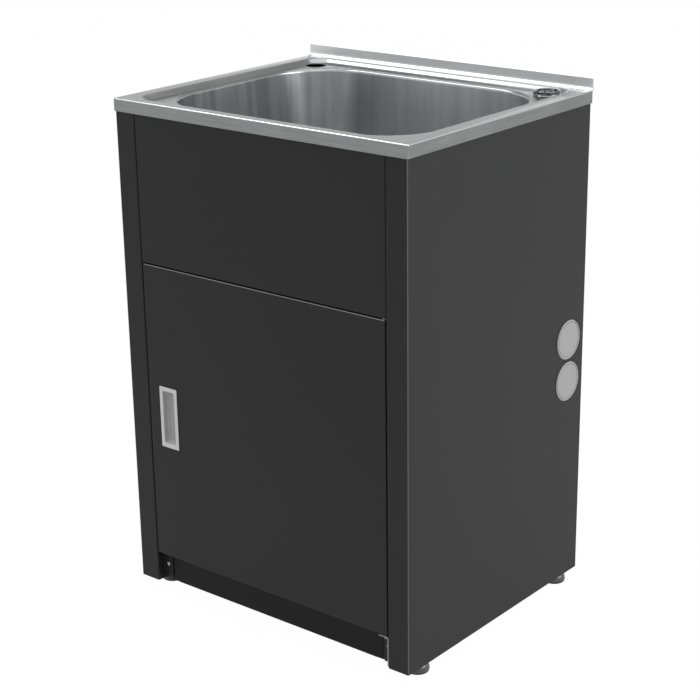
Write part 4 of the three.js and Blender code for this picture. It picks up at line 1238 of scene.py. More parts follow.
@dataclass
class Trough(Loft):
    """The pressed steel sheet: lip, rim, recess, bowl, drain seat and upstand."""

    half_width: float = 0.300
    half_depth: float = 0.250
    rim_height: float = 0.877
    lip: float = 0.021
    lip_bend: Bend = Bend(0.002, 4)
    sheet: float = 0.001
    sheet_edge: float = 0.0003
    sheet_edge_angle: float = 60.0
    corner: float = 0.003
    rim_side: float = 0.026
    rim_front: float = 0.020
    rim_back: float = 0.014
    recess_depth: float = 0.0075
    recess_slope: float = 0.007
    recess_corner: float = 0.035
    recess_bend: Bend = Bend(0.0025, 3)
    bowl_half: float = 0.254
    bowl_front: float = -0.205
    bowl_back: float = 0.203
    bowl_front_corner: float = 0.098
    bowl_back_corner: float = 0.105
    bowl_depth: float = 0.235
    mouth_bend: Bend = Bend(0.005, 5)
    floor_bend: Bend = Bend(0.038, 10, 0.57)
    draft: float = 0.008
    fall: float = 0.004
    drain_recess: float = 0.004
    drain_recess_radius: float = 0.060
    drain_hole: float = 0.043
    upstand: float = 0.020
    upstand_thickness: float = 0.0022
    upstand_fillet: float = 0.006
    tap_hole: float = 0.0175
    tap_place: Point = (-0.246, 0.199)
    bypass_hole: float = 0.0133
    zone_edge: float = 0.003
    bend_lift: Point = (0.1, 0.97)
    level_grain: float = 0.06

    @property
    def ledge(self) -> float:
        """Height of the recess's floor."""
        return self.rim_height - self.recess_depth

    def outlines(self) -> list[Outline]:
        """The levels from the lip's lower edge to the drain hole, with the bend at each.

        Returns:
            The levels in order.
        """
        floor = self.ledge - self.bowl_depth
        low_floor = floor - self.fall
        seat = low_floor - self.drain_recess
        edge = Outline(
            self.half_width,
            -self.half_depth,
            self.half_depth,
            self.corner,
            self.corner,
            self.rim_height - self.lip,
        )
        recess = Outline(
            self.half_width - self.rim_side,
            -self.half_depth + self.rim_front,
            self.half_depth - self.rim_back,
            self.recess_corner,
            self.recess_corner,
            self.rim_height,
            self.recess_bend,
        )
        bowl = Outline(
            self.bowl_half,
            self.bowl_front,
            self.bowl_back,
            self.bowl_front_corner,
            self.bowl_back_corner,
            self.ledge,
            self.mouth_bend,
        )
        drain = (self.bowl_front + self.bowl_back) / 2
        rings = (
            (self.drain_recess_radius + self.drain_recess, low_floor),
            (self.drain_recess_radius, seat),
            (self.drain_hole, seat),
        )
        return [
            edge,
            edge.inset(0.0, self.rim_height, self.lip_bend),
            recess,
            recess.inset(self.recess_slope, self.ledge, self.recess_bend),
            bowl,
            bowl.inset(self.draft, floor, self.floor_bend),
            *(Outline(radius, drain, 0.0, radius, radius, height, circle=True) for radius, height in rings),
        ]

    def pressing(self) -> Piece:
        """The sheet's upper face, facing up.

        Returns:
            The skin.
        """
        piece = self.loft("trough_pressing", self.outlines())
        rim = max(piece.data.polygons, key=lambda face: face.center.z + abs(face.normal.z))
        if rim.normal.z < 0:
            Bench.flip(piece)
        return piece

    def upstand_strip(self) -> Piece:
        """The hemmed sheet along the back, with the fillet down to the rim.

        Returns:
            The strip.
        """
        back, rim, fillet = self.half_depth, self.rim_height, self.upstand_fillet
        toe = back - self.upstand_thickness - fillet
        hem = self.upstand_thickness / 2
        root = rim - self.sheet / 2
        outline = [(toe, root), (back, root)]
        outline += arc((back - hem, rim + self.upstand - hem), (hem, hem), 0.0, math.pi)
        outline += arc((toe, rim + fillet), (fillet, fillet), 0.0, -math.pi / 2)
        return Bench.swept("upstand_strip", outline, -self.half_width, self.half_width)

    def build(self, palette: Palette) -> None:
        """Models the sheet and dresses it.

        Args:
            palette: The finishes.
        """
        piece = self.pressing()
        Bench.thicken(piece, self.sheet)
        Bench.round_edges(piece, self.sheet_edge, self.sheet_edge_angle)
        Bench.combine(piece, self.upstand_strip(), "UNION")
        low, high = self.ledge - self.lip, self.rim_height + self.upstand
        for radius, spot in ((self.tap_hole, self.tap_place), (self.bypass_hole, BYPASS_SPOT)):
            Bench.combine(piece, Bench.drill(radius, low, high, spot=spot))
        Bench.settle(piece, Crease.PRESSED)
        self.lay_grain(piece)
        palette.dress(piece, Look.STEEL, "trough")

    def lay_grain(self, piece: Piece) -> None:
        """Stores what the finish needs: the grain's turn, the bowl, which gets painted light, and the outer
        bend and the upstand, which get a painted highlight.

        Args:
            piece: The sheet, in its place.
        """
        edge = self.zone_edge
        turn, bowl, bend, raised = [], [], [], []
        for vert in piece.data.vertices:
            x, y, z = vert.co
            across, ahead, lift = vert.normal.x**2, vert.normal.y**2, vert.normal.z
            turn.append(across / (across + ahead + self.level_grain))
            within = abs(x) < self.bowl_half + edge and self.bowl_front - edge < y < self.bowl_back + edge
            bowl.append(float(within and z < self.ledge - edge))
            outer = abs(x) > self.half_width - edge or y < edge - self.half_depth
            rounded = self.bend_lift[0] < lift < self.bend_lift[1]
            # bend and raised mark where the finish paints a highlight
            bend.append(float(outer and rounded and z > self.rim_height - edge))
            raised.append(float(z > self.rim_height + edge))
        for name, values in (("grain_turn", turn), ("bowl", bowl), ("bend", bend), ("raised", raised)):
            Bench.store(piece, name, values)


@dataclass
class Bypass:
    """The drain-hose bypass in the recess's rear right corner."""

    place: Place = (*BYPASS_SPOT, 0.8695)
    gap: float = 0.0003
    ease: float = 0.0006
    shoulder: float = 0.0008
    flange: float = 0.0225
    flange_thickness: float = 0.0025
    boss: float = 0.0195
    boss_height: float = 0.0085
    ring: float = 0.0035
    bore: float = 0.011
    wall: float = 0.002
    shank: float = 0.048
    thread_pitch: float = 0.0022
    thread_depth: float = 0.0005
    thread_lead: float = 0.001
    thread_end: float = -0.012
    lug: float = 0.0035
    lug_height: float = 0.006
    lug_crown: tuple[Point, ...] = ((0.0, 0.001), (0.0004, 0.0003), (0.0012, 0.0))
    lug_offset: float = 0.020
    lug_turn: float = 202.0
    sink: float = 0.003
    plug_thickness: float = 0.004
    plug_rim: float = 0.0030
    stud: float = 0.003
    stud_height: float = 0.003
    stud_shape: tuple[Point, ...] = ((0.6, 0.35), (1.0, 0.6), (0.95, 0.85), (0.6, 1.0))
    stud_offset: float = 0.0075
    stud_turn: float = 51.0
    notch_half: Point = (0.0022, 0.0014)
    notch_span: Point = (0.0048, 0.0120)
    notch_turn: float = -71.0

    def around(self, offset: float, degrees: float) -> Place:
        """A place beside the bypass's axis, on the ledge.

        Args:
            offset: How far from the axis.
            degrees: The angle from +X.

        Returns:
            The place.
        """
        angle = math.radians(degrees)
        x, y, z = self.place
        return (x + offset * math.cos(angle), y + offset * math.sin(angle), z)

    def body(self) -> Piece:
        """Flange, raised ring, threaded shank and the lug beside the ring.

        Returns:
            The fitting.
        """
        inner = self.boss - self.ring
        shelf = self.boss_height - self.sink - self.plug_thickness - self.gap
        outer = self.bore + self.wall
        thick, top, ease, shoulder = self.flange_thickness, self.boss_height, self.ease, self.shoulder
        outline = [
            (self.flange, self.gap),
            (self.flange, thick / 2),
            (self.flange - thick / 2, thick),
            (self.boss + ease, thick),
            (self.boss, thick + 2 * ease),
            (self.boss, top - shoulder),
            (self.boss - shoulder, top),
            (inner + ease, top),
            (inner, top - ease),
            (inner, shelf),
            (self.bore, shelf),
            (self.bore, -self.shank),
            (outer, -self.shank),
        ]
        outline += thread(
            outer,
            outer - self.thread_depth,
            self.thread_lead - self.shank,
            self.thread_end,
            self.thread_pitch,
        )
        outline += [(outer, outline[-1][1] + self.thread_pitch / 2), (outer, self.gap)]
        piece = Bench.turned("bypass_fitting", outline, Facets.LARGE, hollow=True)
        Bench.aim(piece, self.place)
        crown = beside((self.lug, self.lug_height), self.lug_crown)
        outline = [(0.0, self.gap), (self.lug, self.gap), *crown, (0.0, self.lug_height)]
        lug = Bench.turned("lug", outline, Facets.SMALL)
        Bench.aim(lug, self.around(self.lug_offset, self.lug_turn))
        Bench.combine(piece, lug, "UNION")
        (x, y), (low, high) = self.notch_half, self.notch_span
        notch = Bench.slab((-x, -y, low), (x, y, high))
        notch.location = self.around(self.boss, self.notch_turn)
        notch.rotation_euler.z = math.radians(self.notch_turn)
        Bench.combine(piece, notch)
        return piece

    def plug(self) -> Piece:
        """Lift-out disc with its pull stud off the centre.

        Returns:
            The plug.
        """
        radius = self.boss - self.ring - self.gap
        top = self.boss_height - self.sink
        bottom = top - self.plug_thickness
        inner, shoulder, ease = radius - self.plug_rim, self.shoulder, self.ease
        outline = [
            (0.0, bottom),
            (radius - ease, bottom),
            (radius, bottom + ease),
            (radius, top - shoulder),
            (radius - shoulder, top),
            (inner, top),
            (inner - ease, top - shoulder),
            (0.0, top - shoulder),
        ]
        piece = Bench.turned("bypass_stopper", outline, Facets.LARGE)
        Bench.aim(piece, self.place)
        low = bottom + self.plug_thickness / 4
        sides = [(self.stud * wide, top + self.stud_height * tall) for wide, tall in self.stud_shape]
        outline = [(0.0, low), (sides[0][0], low), *sides, (0.0, top + self.stud_height)]
        stud = Bench.turned("stud", outline, Facets.SMALL)
        Bench.aim(stud, self.around(self.stud_offset, self.stud_turn))
        Bench.combine(piece, stud, "UNION")
        return piece

    def build(self, palette: Palette) -> None:
        """Models the fitting and its plug.

        Args:
            palette: The finishes.
        """
        # painted dark reflection: the fitting and its plug take the darker chrome
        palette.finish(self.body(), Look.DARK_CHROME, "bypass_body")
        palette.finish(self.plug(), Look.DARK_CHROME, "bypass_plug")


@dataclass
class Waste:
    """Basket waste in the bowl's floor, and the tee and pipe under it."""

    place: Place = (0.0, -0.001, 0.6265)
    gap: float = 0.0003
    wall: float = 0.0012
    flange: float = 0.055
    flange_crown: tuple[Point, ...] = ((0.0002, 0.00036), (0.0012, 0.0))
    cup: float = 0.040
    cup_depth: float = 0.040
    cup_round: float = 0.002
    cup_seat: float = 0.00048
    cup_belly: float = 0.0004
    outlet: float = 0.025
    outlet_length: float = 0.028
    basket_wall: float = 0.001
    basket_clearance: float = 0.002
    basket_rim: float = 0.003
    basket_rim_crown: tuple[Point, ...] = ((0.0, 0.0004), (0.0006, 0.0))
    basket_foot: tuple[Point, ...] = ((0.002, 0.0), (0.0005, -0.0006), (0.0, -0.002))
    basket_depth: float = 0.026
    basket_hole: float = 0.004
    basket_holes: int = 6
    post: float = 0.003
    knob: float = 0.009
    knob_centre: Point = (0.62, -0.125)
    knob_radii: Point = (0.38, 0.34)
    knob_crown: tuple[Point, ...] = ((0.3, 0.28), (0.0, 0.3))
    tee_wall: float = 0.003
    tee_length: float = 0.100
    tee_overlap: float = 0.020
    tee_ease: float = 0.0008
    tee_slope: float = 0.001
    inlet_reach: float = 0.058
    inlet_collar: float = 0.0015
    inlet_collar_length: float = 0.012
    inlet_slope: float = 0.002
    inlet_ease: float = 0.0006
    pipe: float = 0.0125
    pipe_sides: int = 12
    pipe_wall: float = 0.002
    pipe_entry: float = 0.018
    pipe_fall: float = 8.0
    pipe_bend: float = 0.060
    pipe_steps: int = 16
    pipe_rounding: int = 8
    cut_through: float = 0.02
    ring_edge: float = 0.0005
    bypass_foot: Place = (*BYPASS_SPOT, 0.8212)

    @property
    def tee_top(self) -> float:
        """Height of the tee's upper end."""
        return self.place[2] - self.cup_depth - self.outlet_length + self.tee_overlap

    @property
    def inlet(self) -> Vector:
        """Where the tee's sloping inlet starts, on the drain's axis."""
        return Vector((self.place[0], self.place[1], self.tee_top - self.tee_length / 2))

    @property
    def run(self) -> Vector:
        """The level way from the inlet to the pipe's upper end."""
        way = Vector(self.bypass_foot) - self.inlet
        return Vector((way.x, way.y, 0.0))

    @property
    def heading(self) -> Vector:
        """Direction of the inlet and of the pipe's long run."""
        fall = math.radians(self.pipe_fall)
        return self.run.normalized() * math.cos(fall) + Vector(UP) * math.sin(fall)

    def cup_piece(self) -> Piece:
        """Flanged cup with its outlet spigot.

        Returns:
            The cup.
        """
        wall, gap, cup, outlet = self.wall, self.gap, self.cup, self.outlet
        seat, inner, spigot = cup + wall, cup - wall, outlet - wall
        floor, end = -self.cup_depth, -self.cup_depth - self.outlet_length
        round_in = self.cup_round
        outline = [
            (self.flange, gap),
            *beside((self.flange, wall), self.flange_crown),
            (seat + round_in, wall + gap),
            (seat, wall + gap),
            (seat - wall, self.cup_seat),
            (inner, -wall),
            (inner, floor + wall + round_in),
            (inner - round_in, floor + wall),
            (spigot, floor),
            (spigot, end),
            (outlet, end),
            (outlet, floor - wall),
            (outlet + 2 * wall, floor - wall),
            (cup - round_in, floor - self.cup_belly),
            (cup, floor + round_in),
            (cup, gap),
        ]
        piece = Bench.turned("waste_cup", outline, Facets.LARGE, hollow=True)
        Bench.aim(piece, self.place)
        return piece

    def basket(self) -> Piece:
        """Lift-out strainer basket: flared rim, drilled floor, post and knob.

        Returns:
            The basket.
        """
        seat = self.cup + self.wall
        outer = self.cup - self.wall - self.basket_clearance
        wall, post = self.basket_wall, self.post
        inner, edge = outer - wall, seat + self.basket_rim
        rest, floor = self.wall + 2 * self.gap, -self.basket_depth
        knob = [*arc(self.knob_centre, self.knob_radii, -math.pi / 2, math.pi / 2), *self.knob_crown]
        outline = [
            (0.0, floor),
            *beside((outer, floor), self.basket_foot),
            (outer, -wall),
            (seat - 2 * self.gap, rest),
            (edge, rest),
            *beside((edge, rest + wall), self.basket_rim_crown),
            (seat - wall, rest + wall),
            (inner, -wall),
            (inner, floor + 2 * wall),
            (inner - wall, floor + wall),
            (post + wall, floor + wall),
            (post, floor + 2 * wall),
            (post, -self.knob / 2),
            *((self.knob * wide, self.knob * tall) for wide, tall in knob),
        ]
        piece = Bench.turned("strainer_basket", outline, Facets.LARGE)
        ring = (inner + post) / 2
        drills = []
        for index in range(self.basket_holes):
            angle = 2 * math.pi * index / self.basket_holes
            spot = (ring * math.cos(angle), ring * math.sin(angle))
            drills.append(Bench.drill(self.basket_hole, floor - wall, floor + 2 * wall, Facets.SMALL, spot))
        Bench.combine(piece, Bench.join(drills))
        Bench.aim(piece, self.place)
        return piece

    def tee(self) -> Piece:
        """Vertical tube with a collar and a sloping inlet for the bypass pipe.

        Returns:
            The tee.
        """
        bore = self.outlet + self.gap
        wall = bore + self.tee_wall
        collar = wall + self.tee_wall
        top, bottom, ease = self.tee_top, self.tee_top - self.tee_length, self.tee_ease
        step = top - self.tee_overlap
        outline = [
            (0.0, bottom),
            (wall - ease, bottom),
            (wall, bottom + ease),
            (wall, step - self.tee_slope),
            (collar - ease, step),
            (collar, step + ease),
            (collar, top - ease),
            (collar - ease, top),
            (0.0, top),
        ]
        piece = Bench.turned("waste_branch", outline)
        spot = self.place[:2]
        Bench.aim(piece, (*spot, 0.0))
        inlet_bore = self.pipe / math.cos(math.pi / self.pipe_sides) + self.gap
        outer, reach, ease = inlet_bore + self.tee_wall, self.inlet_reach, self.inlet_ease
        collar, start = outer + self.inlet_collar, reach - self.inlet_collar_length
        outline = [
            (0.0, 0.0),
            (outer, 0.0),
            (outer, start - self.inlet_slope),
            (collar, start),
            (collar, reach - ease),
            (collar - ease, reach),
            (0.0, reach),
        ]
        branch = Bench.turned("branch", outline, Facets.MIDDLE)
        Bench.aim(branch, self.inlet, self.heading)
        Bench.combine(piece, branch, "UNION")
        beyond = self.cut_through
        Bench.combine(piece, Bench.drill(bore, bottom - beyond, top + beyond, spot=spot))
        side = Bench.drill(inlet_bore, 0.0, 2 * reach, Facets.MIDDLE)
        Bench.aim(side, self.inlet + self.heading * reach, self.heading)
        Bench.combine(piece, side)
        return piece

    def pipe_route(self) -> list[Vector]:
        """The pipe's centre line: down from the bypass, round the elbow and into the tee.

        Returns:
            Its points, from the top.
        """
        elbow = self.inlet + self.heading * (self.run.length / math.cos(math.radians(self.pipe_fall)))
        start = elbow + Vector(UP) * self.pipe_bend
        finish = elbow - self.heading * self.pipe_bend
        shares = [step / self.pipe_steps for step in range(self.pipe_steps + 1)]
        turn = [start * (1 - t) ** 2 + elbow * (2 * t * (1 - t)) + finish * t**2 for t in shares]
        end = self.inlet + self.heading * (self.inlet_reach - self.pipe_entry)
        return [Vector(self.bypass_foot), *turn, end]

    def pipe_piece(self) -> Piece:
        """Pipe from the bypass's shank down and across into the tee.

        Returns:
            The pipe.
        """
        points = self.pipe_route()
        curve = bpy.data.curves.new("bypass_tube", "CURVE")
        curve.dimensions = "3D"
        curve.bevel_depth = self.pipe
        curve.bevel_resolution = self.pipe_rounding
        spline = curve.splines.new("POLY")
        spline.points.add(len(points) - 1)
        for place, point in zip(points, spline.points):
            point.co = (*place, 1.0)
        Bench.hold(Bench.add("bypass_tube", curve))
        bpy.ops.object.convert(target="MESH")
        piece = Bench.named("bypass_tube")
        Bench.face_out(piece)
        middle = (points[0] + points[1]) / 2
        nearest = min(piece.data.polygons, key=lambda face: (face.center - middle).length)
        if nearest.normal.dot(nearest.center - middle) < 0:
            Bench.flip(piece)
        Bench.thicken(piece, self.pipe_wall)
        return piece

    def build(self, palette: Palette) -> None:
        """Models the waste, its basket, the tee and the pipe, and softens the rings.

        Args:
            palette: The finishes.
        """
        palette.finish(self.cup_piece(), Look.CHROME, "waste_body")
        palette.finish(self.basket(), Look.CHROME, "waste_basket")
        palette.finish(self.tee(), Look.WHITE, "waste_tee")
        palette.finish(self.pipe_piece(), Look.WHITE, "bypass_pipe", Crease.MOULDED)
        for node, name, look in (
            ("waste_backnut", "waste_ring_nut", Look.WHITE),
            ("bypass_nut", "bypass_ring_nut", Look.WHITE),
            ("waste_washer", "waste_seal", Look.RUBBER),
        ):
            palette.soften(node, name, look, self.ring_edge)


@dataclass
class FoldedSheets:
    """The cabinet's and the door's sheet metal, with its bends shaded smooth."""

    front_gap: float = 0.0006
    bend_reach: float = 0.0013
    # painted highlights: the door's top bend and the right side's front bend, with their strength
    bend_highlights: tuple[tuple[str, str, float], ...] = (
        ("door_skin", "z", 1.0),
        ("side_panel_right", "x", 0.35),
    )
    sheets: tuple[tuple[str, str, Look], ...] = (
        ("side_panel_left", "left_side", Look.POWDER),
        ("side_panel_right", "right_side", Look.POWDER),
        ("upper_front_panel", "fixed_front", Look.POWDER),
        ("base_panel", "cabinet_floor", Look.POWDER),
        ("rear_rail_upper", "upper_rear_rail", Look.POWDER),
        ("rear_rail_lower", "lower_rear_rail", Look.POWDER),
        ("door_skin", "door_face", Look.POWDER),
        ("door_liner", "door_back", Look.POWDER),
        # painted shade: the recessed toe board takes the darker powder coat
        ("kickboard", "toe_board", Look.DEEP_POWDER),
        # painted shade: the hinge angles take the darker zinc
        ("hinge_bracket_lower", "lower_hinge_angle", Look.DULL_ZINC),
        ("hinge_bracket_upper", "upper_hinge_angle", Look.DULL_ZINC),
    )

    def mark_bend_highlights(self, piece: Piece, node: str) -> None:
        """Stores where a painted highlight lies on a bend at the front's top or side.

        Args:
            piece: The sheet, in its place.
            node: The CAD node that it stands for.
        """
        low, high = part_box(node)
        for name, axis, amount in self.bend_highlights:
            if name == node:
                edge = getattr(high, axis) - low.y
                gaps = [edge - getattr(vert.co, axis) + vert.co.y for vert in piece.data.vertices]
                Bench.store(piece, "bend", [amount * float(gap < self.bend_reach) for gap in gaps])

    def build(self, palette: Palette) -> None:
        """Copies, merges and dresses the sheets.

        Args:
            palette: The finishes.
        """
        for node, name, look in self.sheets:
            piece = Bench.merged_copy(node, name)
            if node == "upper_front_panel":
                low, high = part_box(node)
                piece.scale.x = 1.0 - 2 * self.front_gap / (high.x - low.x)
                piece.location.x = self.front_gap
            Bench.settle(piece, Crease.FOLDED)
            self.mark_bend_highlights(piece, node)
            palette.dress(piece, look, node)


@dataclass
class DoorPull(Loft):
    """Recessed pull: a bezel on the door's face round a tapered finger pocket."""

    corner_steps: int = 8
    rim: float = 0.0070
    flange: float = 0.0012
    crown: float = 0.0002
    corner: float = 0.0022
    mouth_corner: float = 0.0030
    pocket: float = 0.008
    side_taper: float = 0.0030
    end_taper: float = 0.0075
    back_wall: float = 0.0014
    socket_margin: float = 0.005
    socket_bend: Bend = Bend(0.0008, 2)
    bezel_bend: Bend = Bend(0.0006, 3)
    mouth_bend: Bend = Bend(0.0010, 4)
    floor_bend: Bend = Bend(0.0026, 5)
    # depth share from which the pocket gets painted shade
    shade_from_depth: float = 0.06

    def build(self, palette: Palette) -> None:
        """Lofts the pull from the back of its socket over the bezel to the pocket's floor.

        Args:
            palette: The finishes.
        """
        low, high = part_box("door_pull")
        half, reach = (high.x - low.x) / 2, (high.z - low.z) / 2

        def level(inset: float, end: float, corner: float, depth: float, bend: Bend | None = None) -> Outline:
            """A rounded rectangle inside the bezel's outline, at a depth behind its face."""
            return Outline(half - inset, end - reach, reach - end, corner, corner, -low.y - depth, bend)

        margin, rim, corner, mouth = self.socket_margin, self.rim, self.corner, self.mouth_corner
        side, end = rim + self.side_taper, rim + self.end_taper
        levels = [
            level(margin, margin, corner, self.pocket + self.back_wall, self.socket_bend),
            level(margin, margin, corner, self.flange),
            level(0.0, 0.0, corner, self.flange - self.crown),
            level(0.0, 0.0, corner, self.crown, self.bezel_bend),
            level(rim, rim, mouth, 0.0, self.mouth_bend),
            level(side, end, mouth, self.pocket, self.floor_bend),
        ]
        piece = self.loft("finger_pull", levels, capped=True)
        middle = (low + high) / 2
        piece.rotation_euler.x = math.pi / 2
        piece.location = (middle.x, 0.0, middle.z)
        Bench.settle(piece, Crease.MOULDED)
        # painted shade: the pocket's deeper part is stored as hollow, which the moulding darkens
        depths = [(vert.co.y - low.y) / self.pocket for vert in piece.data.vertices]
        Bench.store(piece, "hollow", [float(depth > self.shade_from_depth) for depth in depths])
        palette.dress(piece, Look.PALE_GREY, "door_pull")


@dataclass
class HoseCaps:
    """Push-in caps over the hose holes: rimmed face and split skirt."""

    flange: float = 0.0345
    hole: float = 0.031
    gap: float = 0.0003
    face: float = 0.00015
    thickness: float = 0.0011
    rim_height: float = 0.0019
    rim: float = 0.0035
    rim_foot: tuple[Point, ...] = ((0.0002, 0.0), (0.0, -0.0004))
    rim_crown: tuple[Point, ...] = ((0.0004, 0.0006), (0.0011, 0.0001), (0.0018, 0.0))
    rim_inside: tuple[Point, ...] = ((-0.0010, 0.0001), (-0.0004, 0.0006))
    groove: float = 0.0007
    groove_width: float = 0.0011
    dish: tuple[Point, ...] = ((0.0004, -0.0001), (0.0012, -0.0003))
    dish_rise: float = 0.0005
    skirt_wall: float = 0.0024
    skirt: float = 0.012
    skirt_lead: tuple[Point, ...] = ((0.0008, 0.0), (0.0, -0.0016))
    slot: float = 0.007

    def model(self) -> Piece:
        """One cap, drawn facing +Z with its seat at height 0.

        Returns:
            The cap.
        """
        skirt, flange, face = self.hole - self.gap, self.flange, self.face
        inner, rim_in = skirt - self.skirt_wall, flange - self.rim
        top, disc = face + self.rim_height, face + self.thickness
        groove_in = rim_in - self.groove_width
        outline = [
            (0.0, face),
            (inner, face),
            (inner, -self.skirt),
            *beside((skirt, -self.skirt), self.skirt_lead),
            (skirt, face),
            *beside((flange, face), self.rim_foot),
            *beside((flange, top), self.rim_crown),
            *beside((rim_in, top), self.rim_inside),
            (rim_in, disc - self.groove),
            (groove_in, disc - self.groove),
            *beside((groove_in, disc), self.dish),
            (0.0, disc + self.dish_rise),
        ]
        cap = Bench.turned("cap_model", outline, Facets.LARGE)
        Bench.cut_cross(cap, 2 * skirt, self.slot, -2 * self.skirt, -self.skirt / 3, 45.0)
        return cap

    def build(self, palette: Palette) -> None:
        """Copies the cap to its four holes.

        Args:
            palette: The finishes.
        """
        model = self.model()
        for side, way in (("left", -1.0), ("right", 1.0)):
            for level in ("upper", "lower"):
                node = f"hose_cap_{side}_{level}"
                low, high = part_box(node)
                seat = (high.x if way > 0 else low.x) - way * (self.face + self.rim_height)
                cap = Bench.add(f"hole_cap_{side}_{level}", model.data.copy())
                Bench.aim(cap, (seat, (low.y + high.y) / 2, (low.z + high.z) / 2), (way, 0.0, 0.0))
                palette.finish(cap, Look.GREY, node)
        bpy.data.objects.remove(model)


@dataclass
class LevellingFeet:
    """Domed pads with their stems, which screw into nuts on the side panels."""

    pad: float = 0.020
    sole: float = 0.0030
    sole_inset: float = 0.0010
    sole_ease: float = 0.0006
    sink: float = 0.08
    height: float = 0.0197
    shoulder: float = 0.008
    dome_steps: int = 10
    stem: float = 0.0048
    top: float = 0.064
    pitch: float = 0.0015
    thread_depth: float = 0.0005
    thread_run_out: float = 0.0004
    thread_end: float = 0.001
    tip: float = 0.0006
    nut_edge: float = 0.0004

    def model(self) -> Piece:
        """One foot, standing on height 0.

        Returns:
            The foot.
        """
        ring, ease, sole = self.pad - self.sole_inset, self.sole_ease, self.sole
        rise = (self.height - sole) / (1.0 + self.sink)
        dome = (self.pad - self.shoulder, rise)
        outline = [(0.0, 0.0), (ring - ease, 0.0), (ring, ease), (ring, sole - ease), (ring - ease, sole)]
        outline += arc(
            (self.shoulder, sole + rise * self.sink),
            dome,
            -math.asin(self.sink),
            math.pi / 2,
            self.dome_steps,
        )
        outline.append((self.stem - self.thread_run_out, self.height))
        outline += thread(
            self.stem - self.thread_depth,
            self.stem,
            self.height + self.thread_run_out,
            self.top - self.thread_end,
            self.pitch,
        )
        outline += [(self.stem - self.tip, self.top), (0.0, self.top)]
        return Bench.turned("foot_model", outline, Facets.MIDDLE)

    def build(self, palette: Palette) -> None:
        """Copies the foot to the four corners and dresses the nuts.

        Args:
            palette: The finishes.
        """
        model = self.model()
        for end in ("front", "rear"):
            for side in ("left", "right"):
                node = f"foot_{end}_{side}"
                low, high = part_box(node)
                foot = Bench.add(f"pad_foot_{end}_{side}", model.data.copy())
                Bench.aim(foot, ((low.x + high.x) / 2, (low.y + high.y) / 2, low.z))
                palette.finish(foot, Look.BLACK, node)
                palette.soften(f"foot_nut_{end}_{side}", f"hex_nut_{end}_{side}", Look.ZINC, self.nut_edge)
        bpy.data.objects.remove(model)


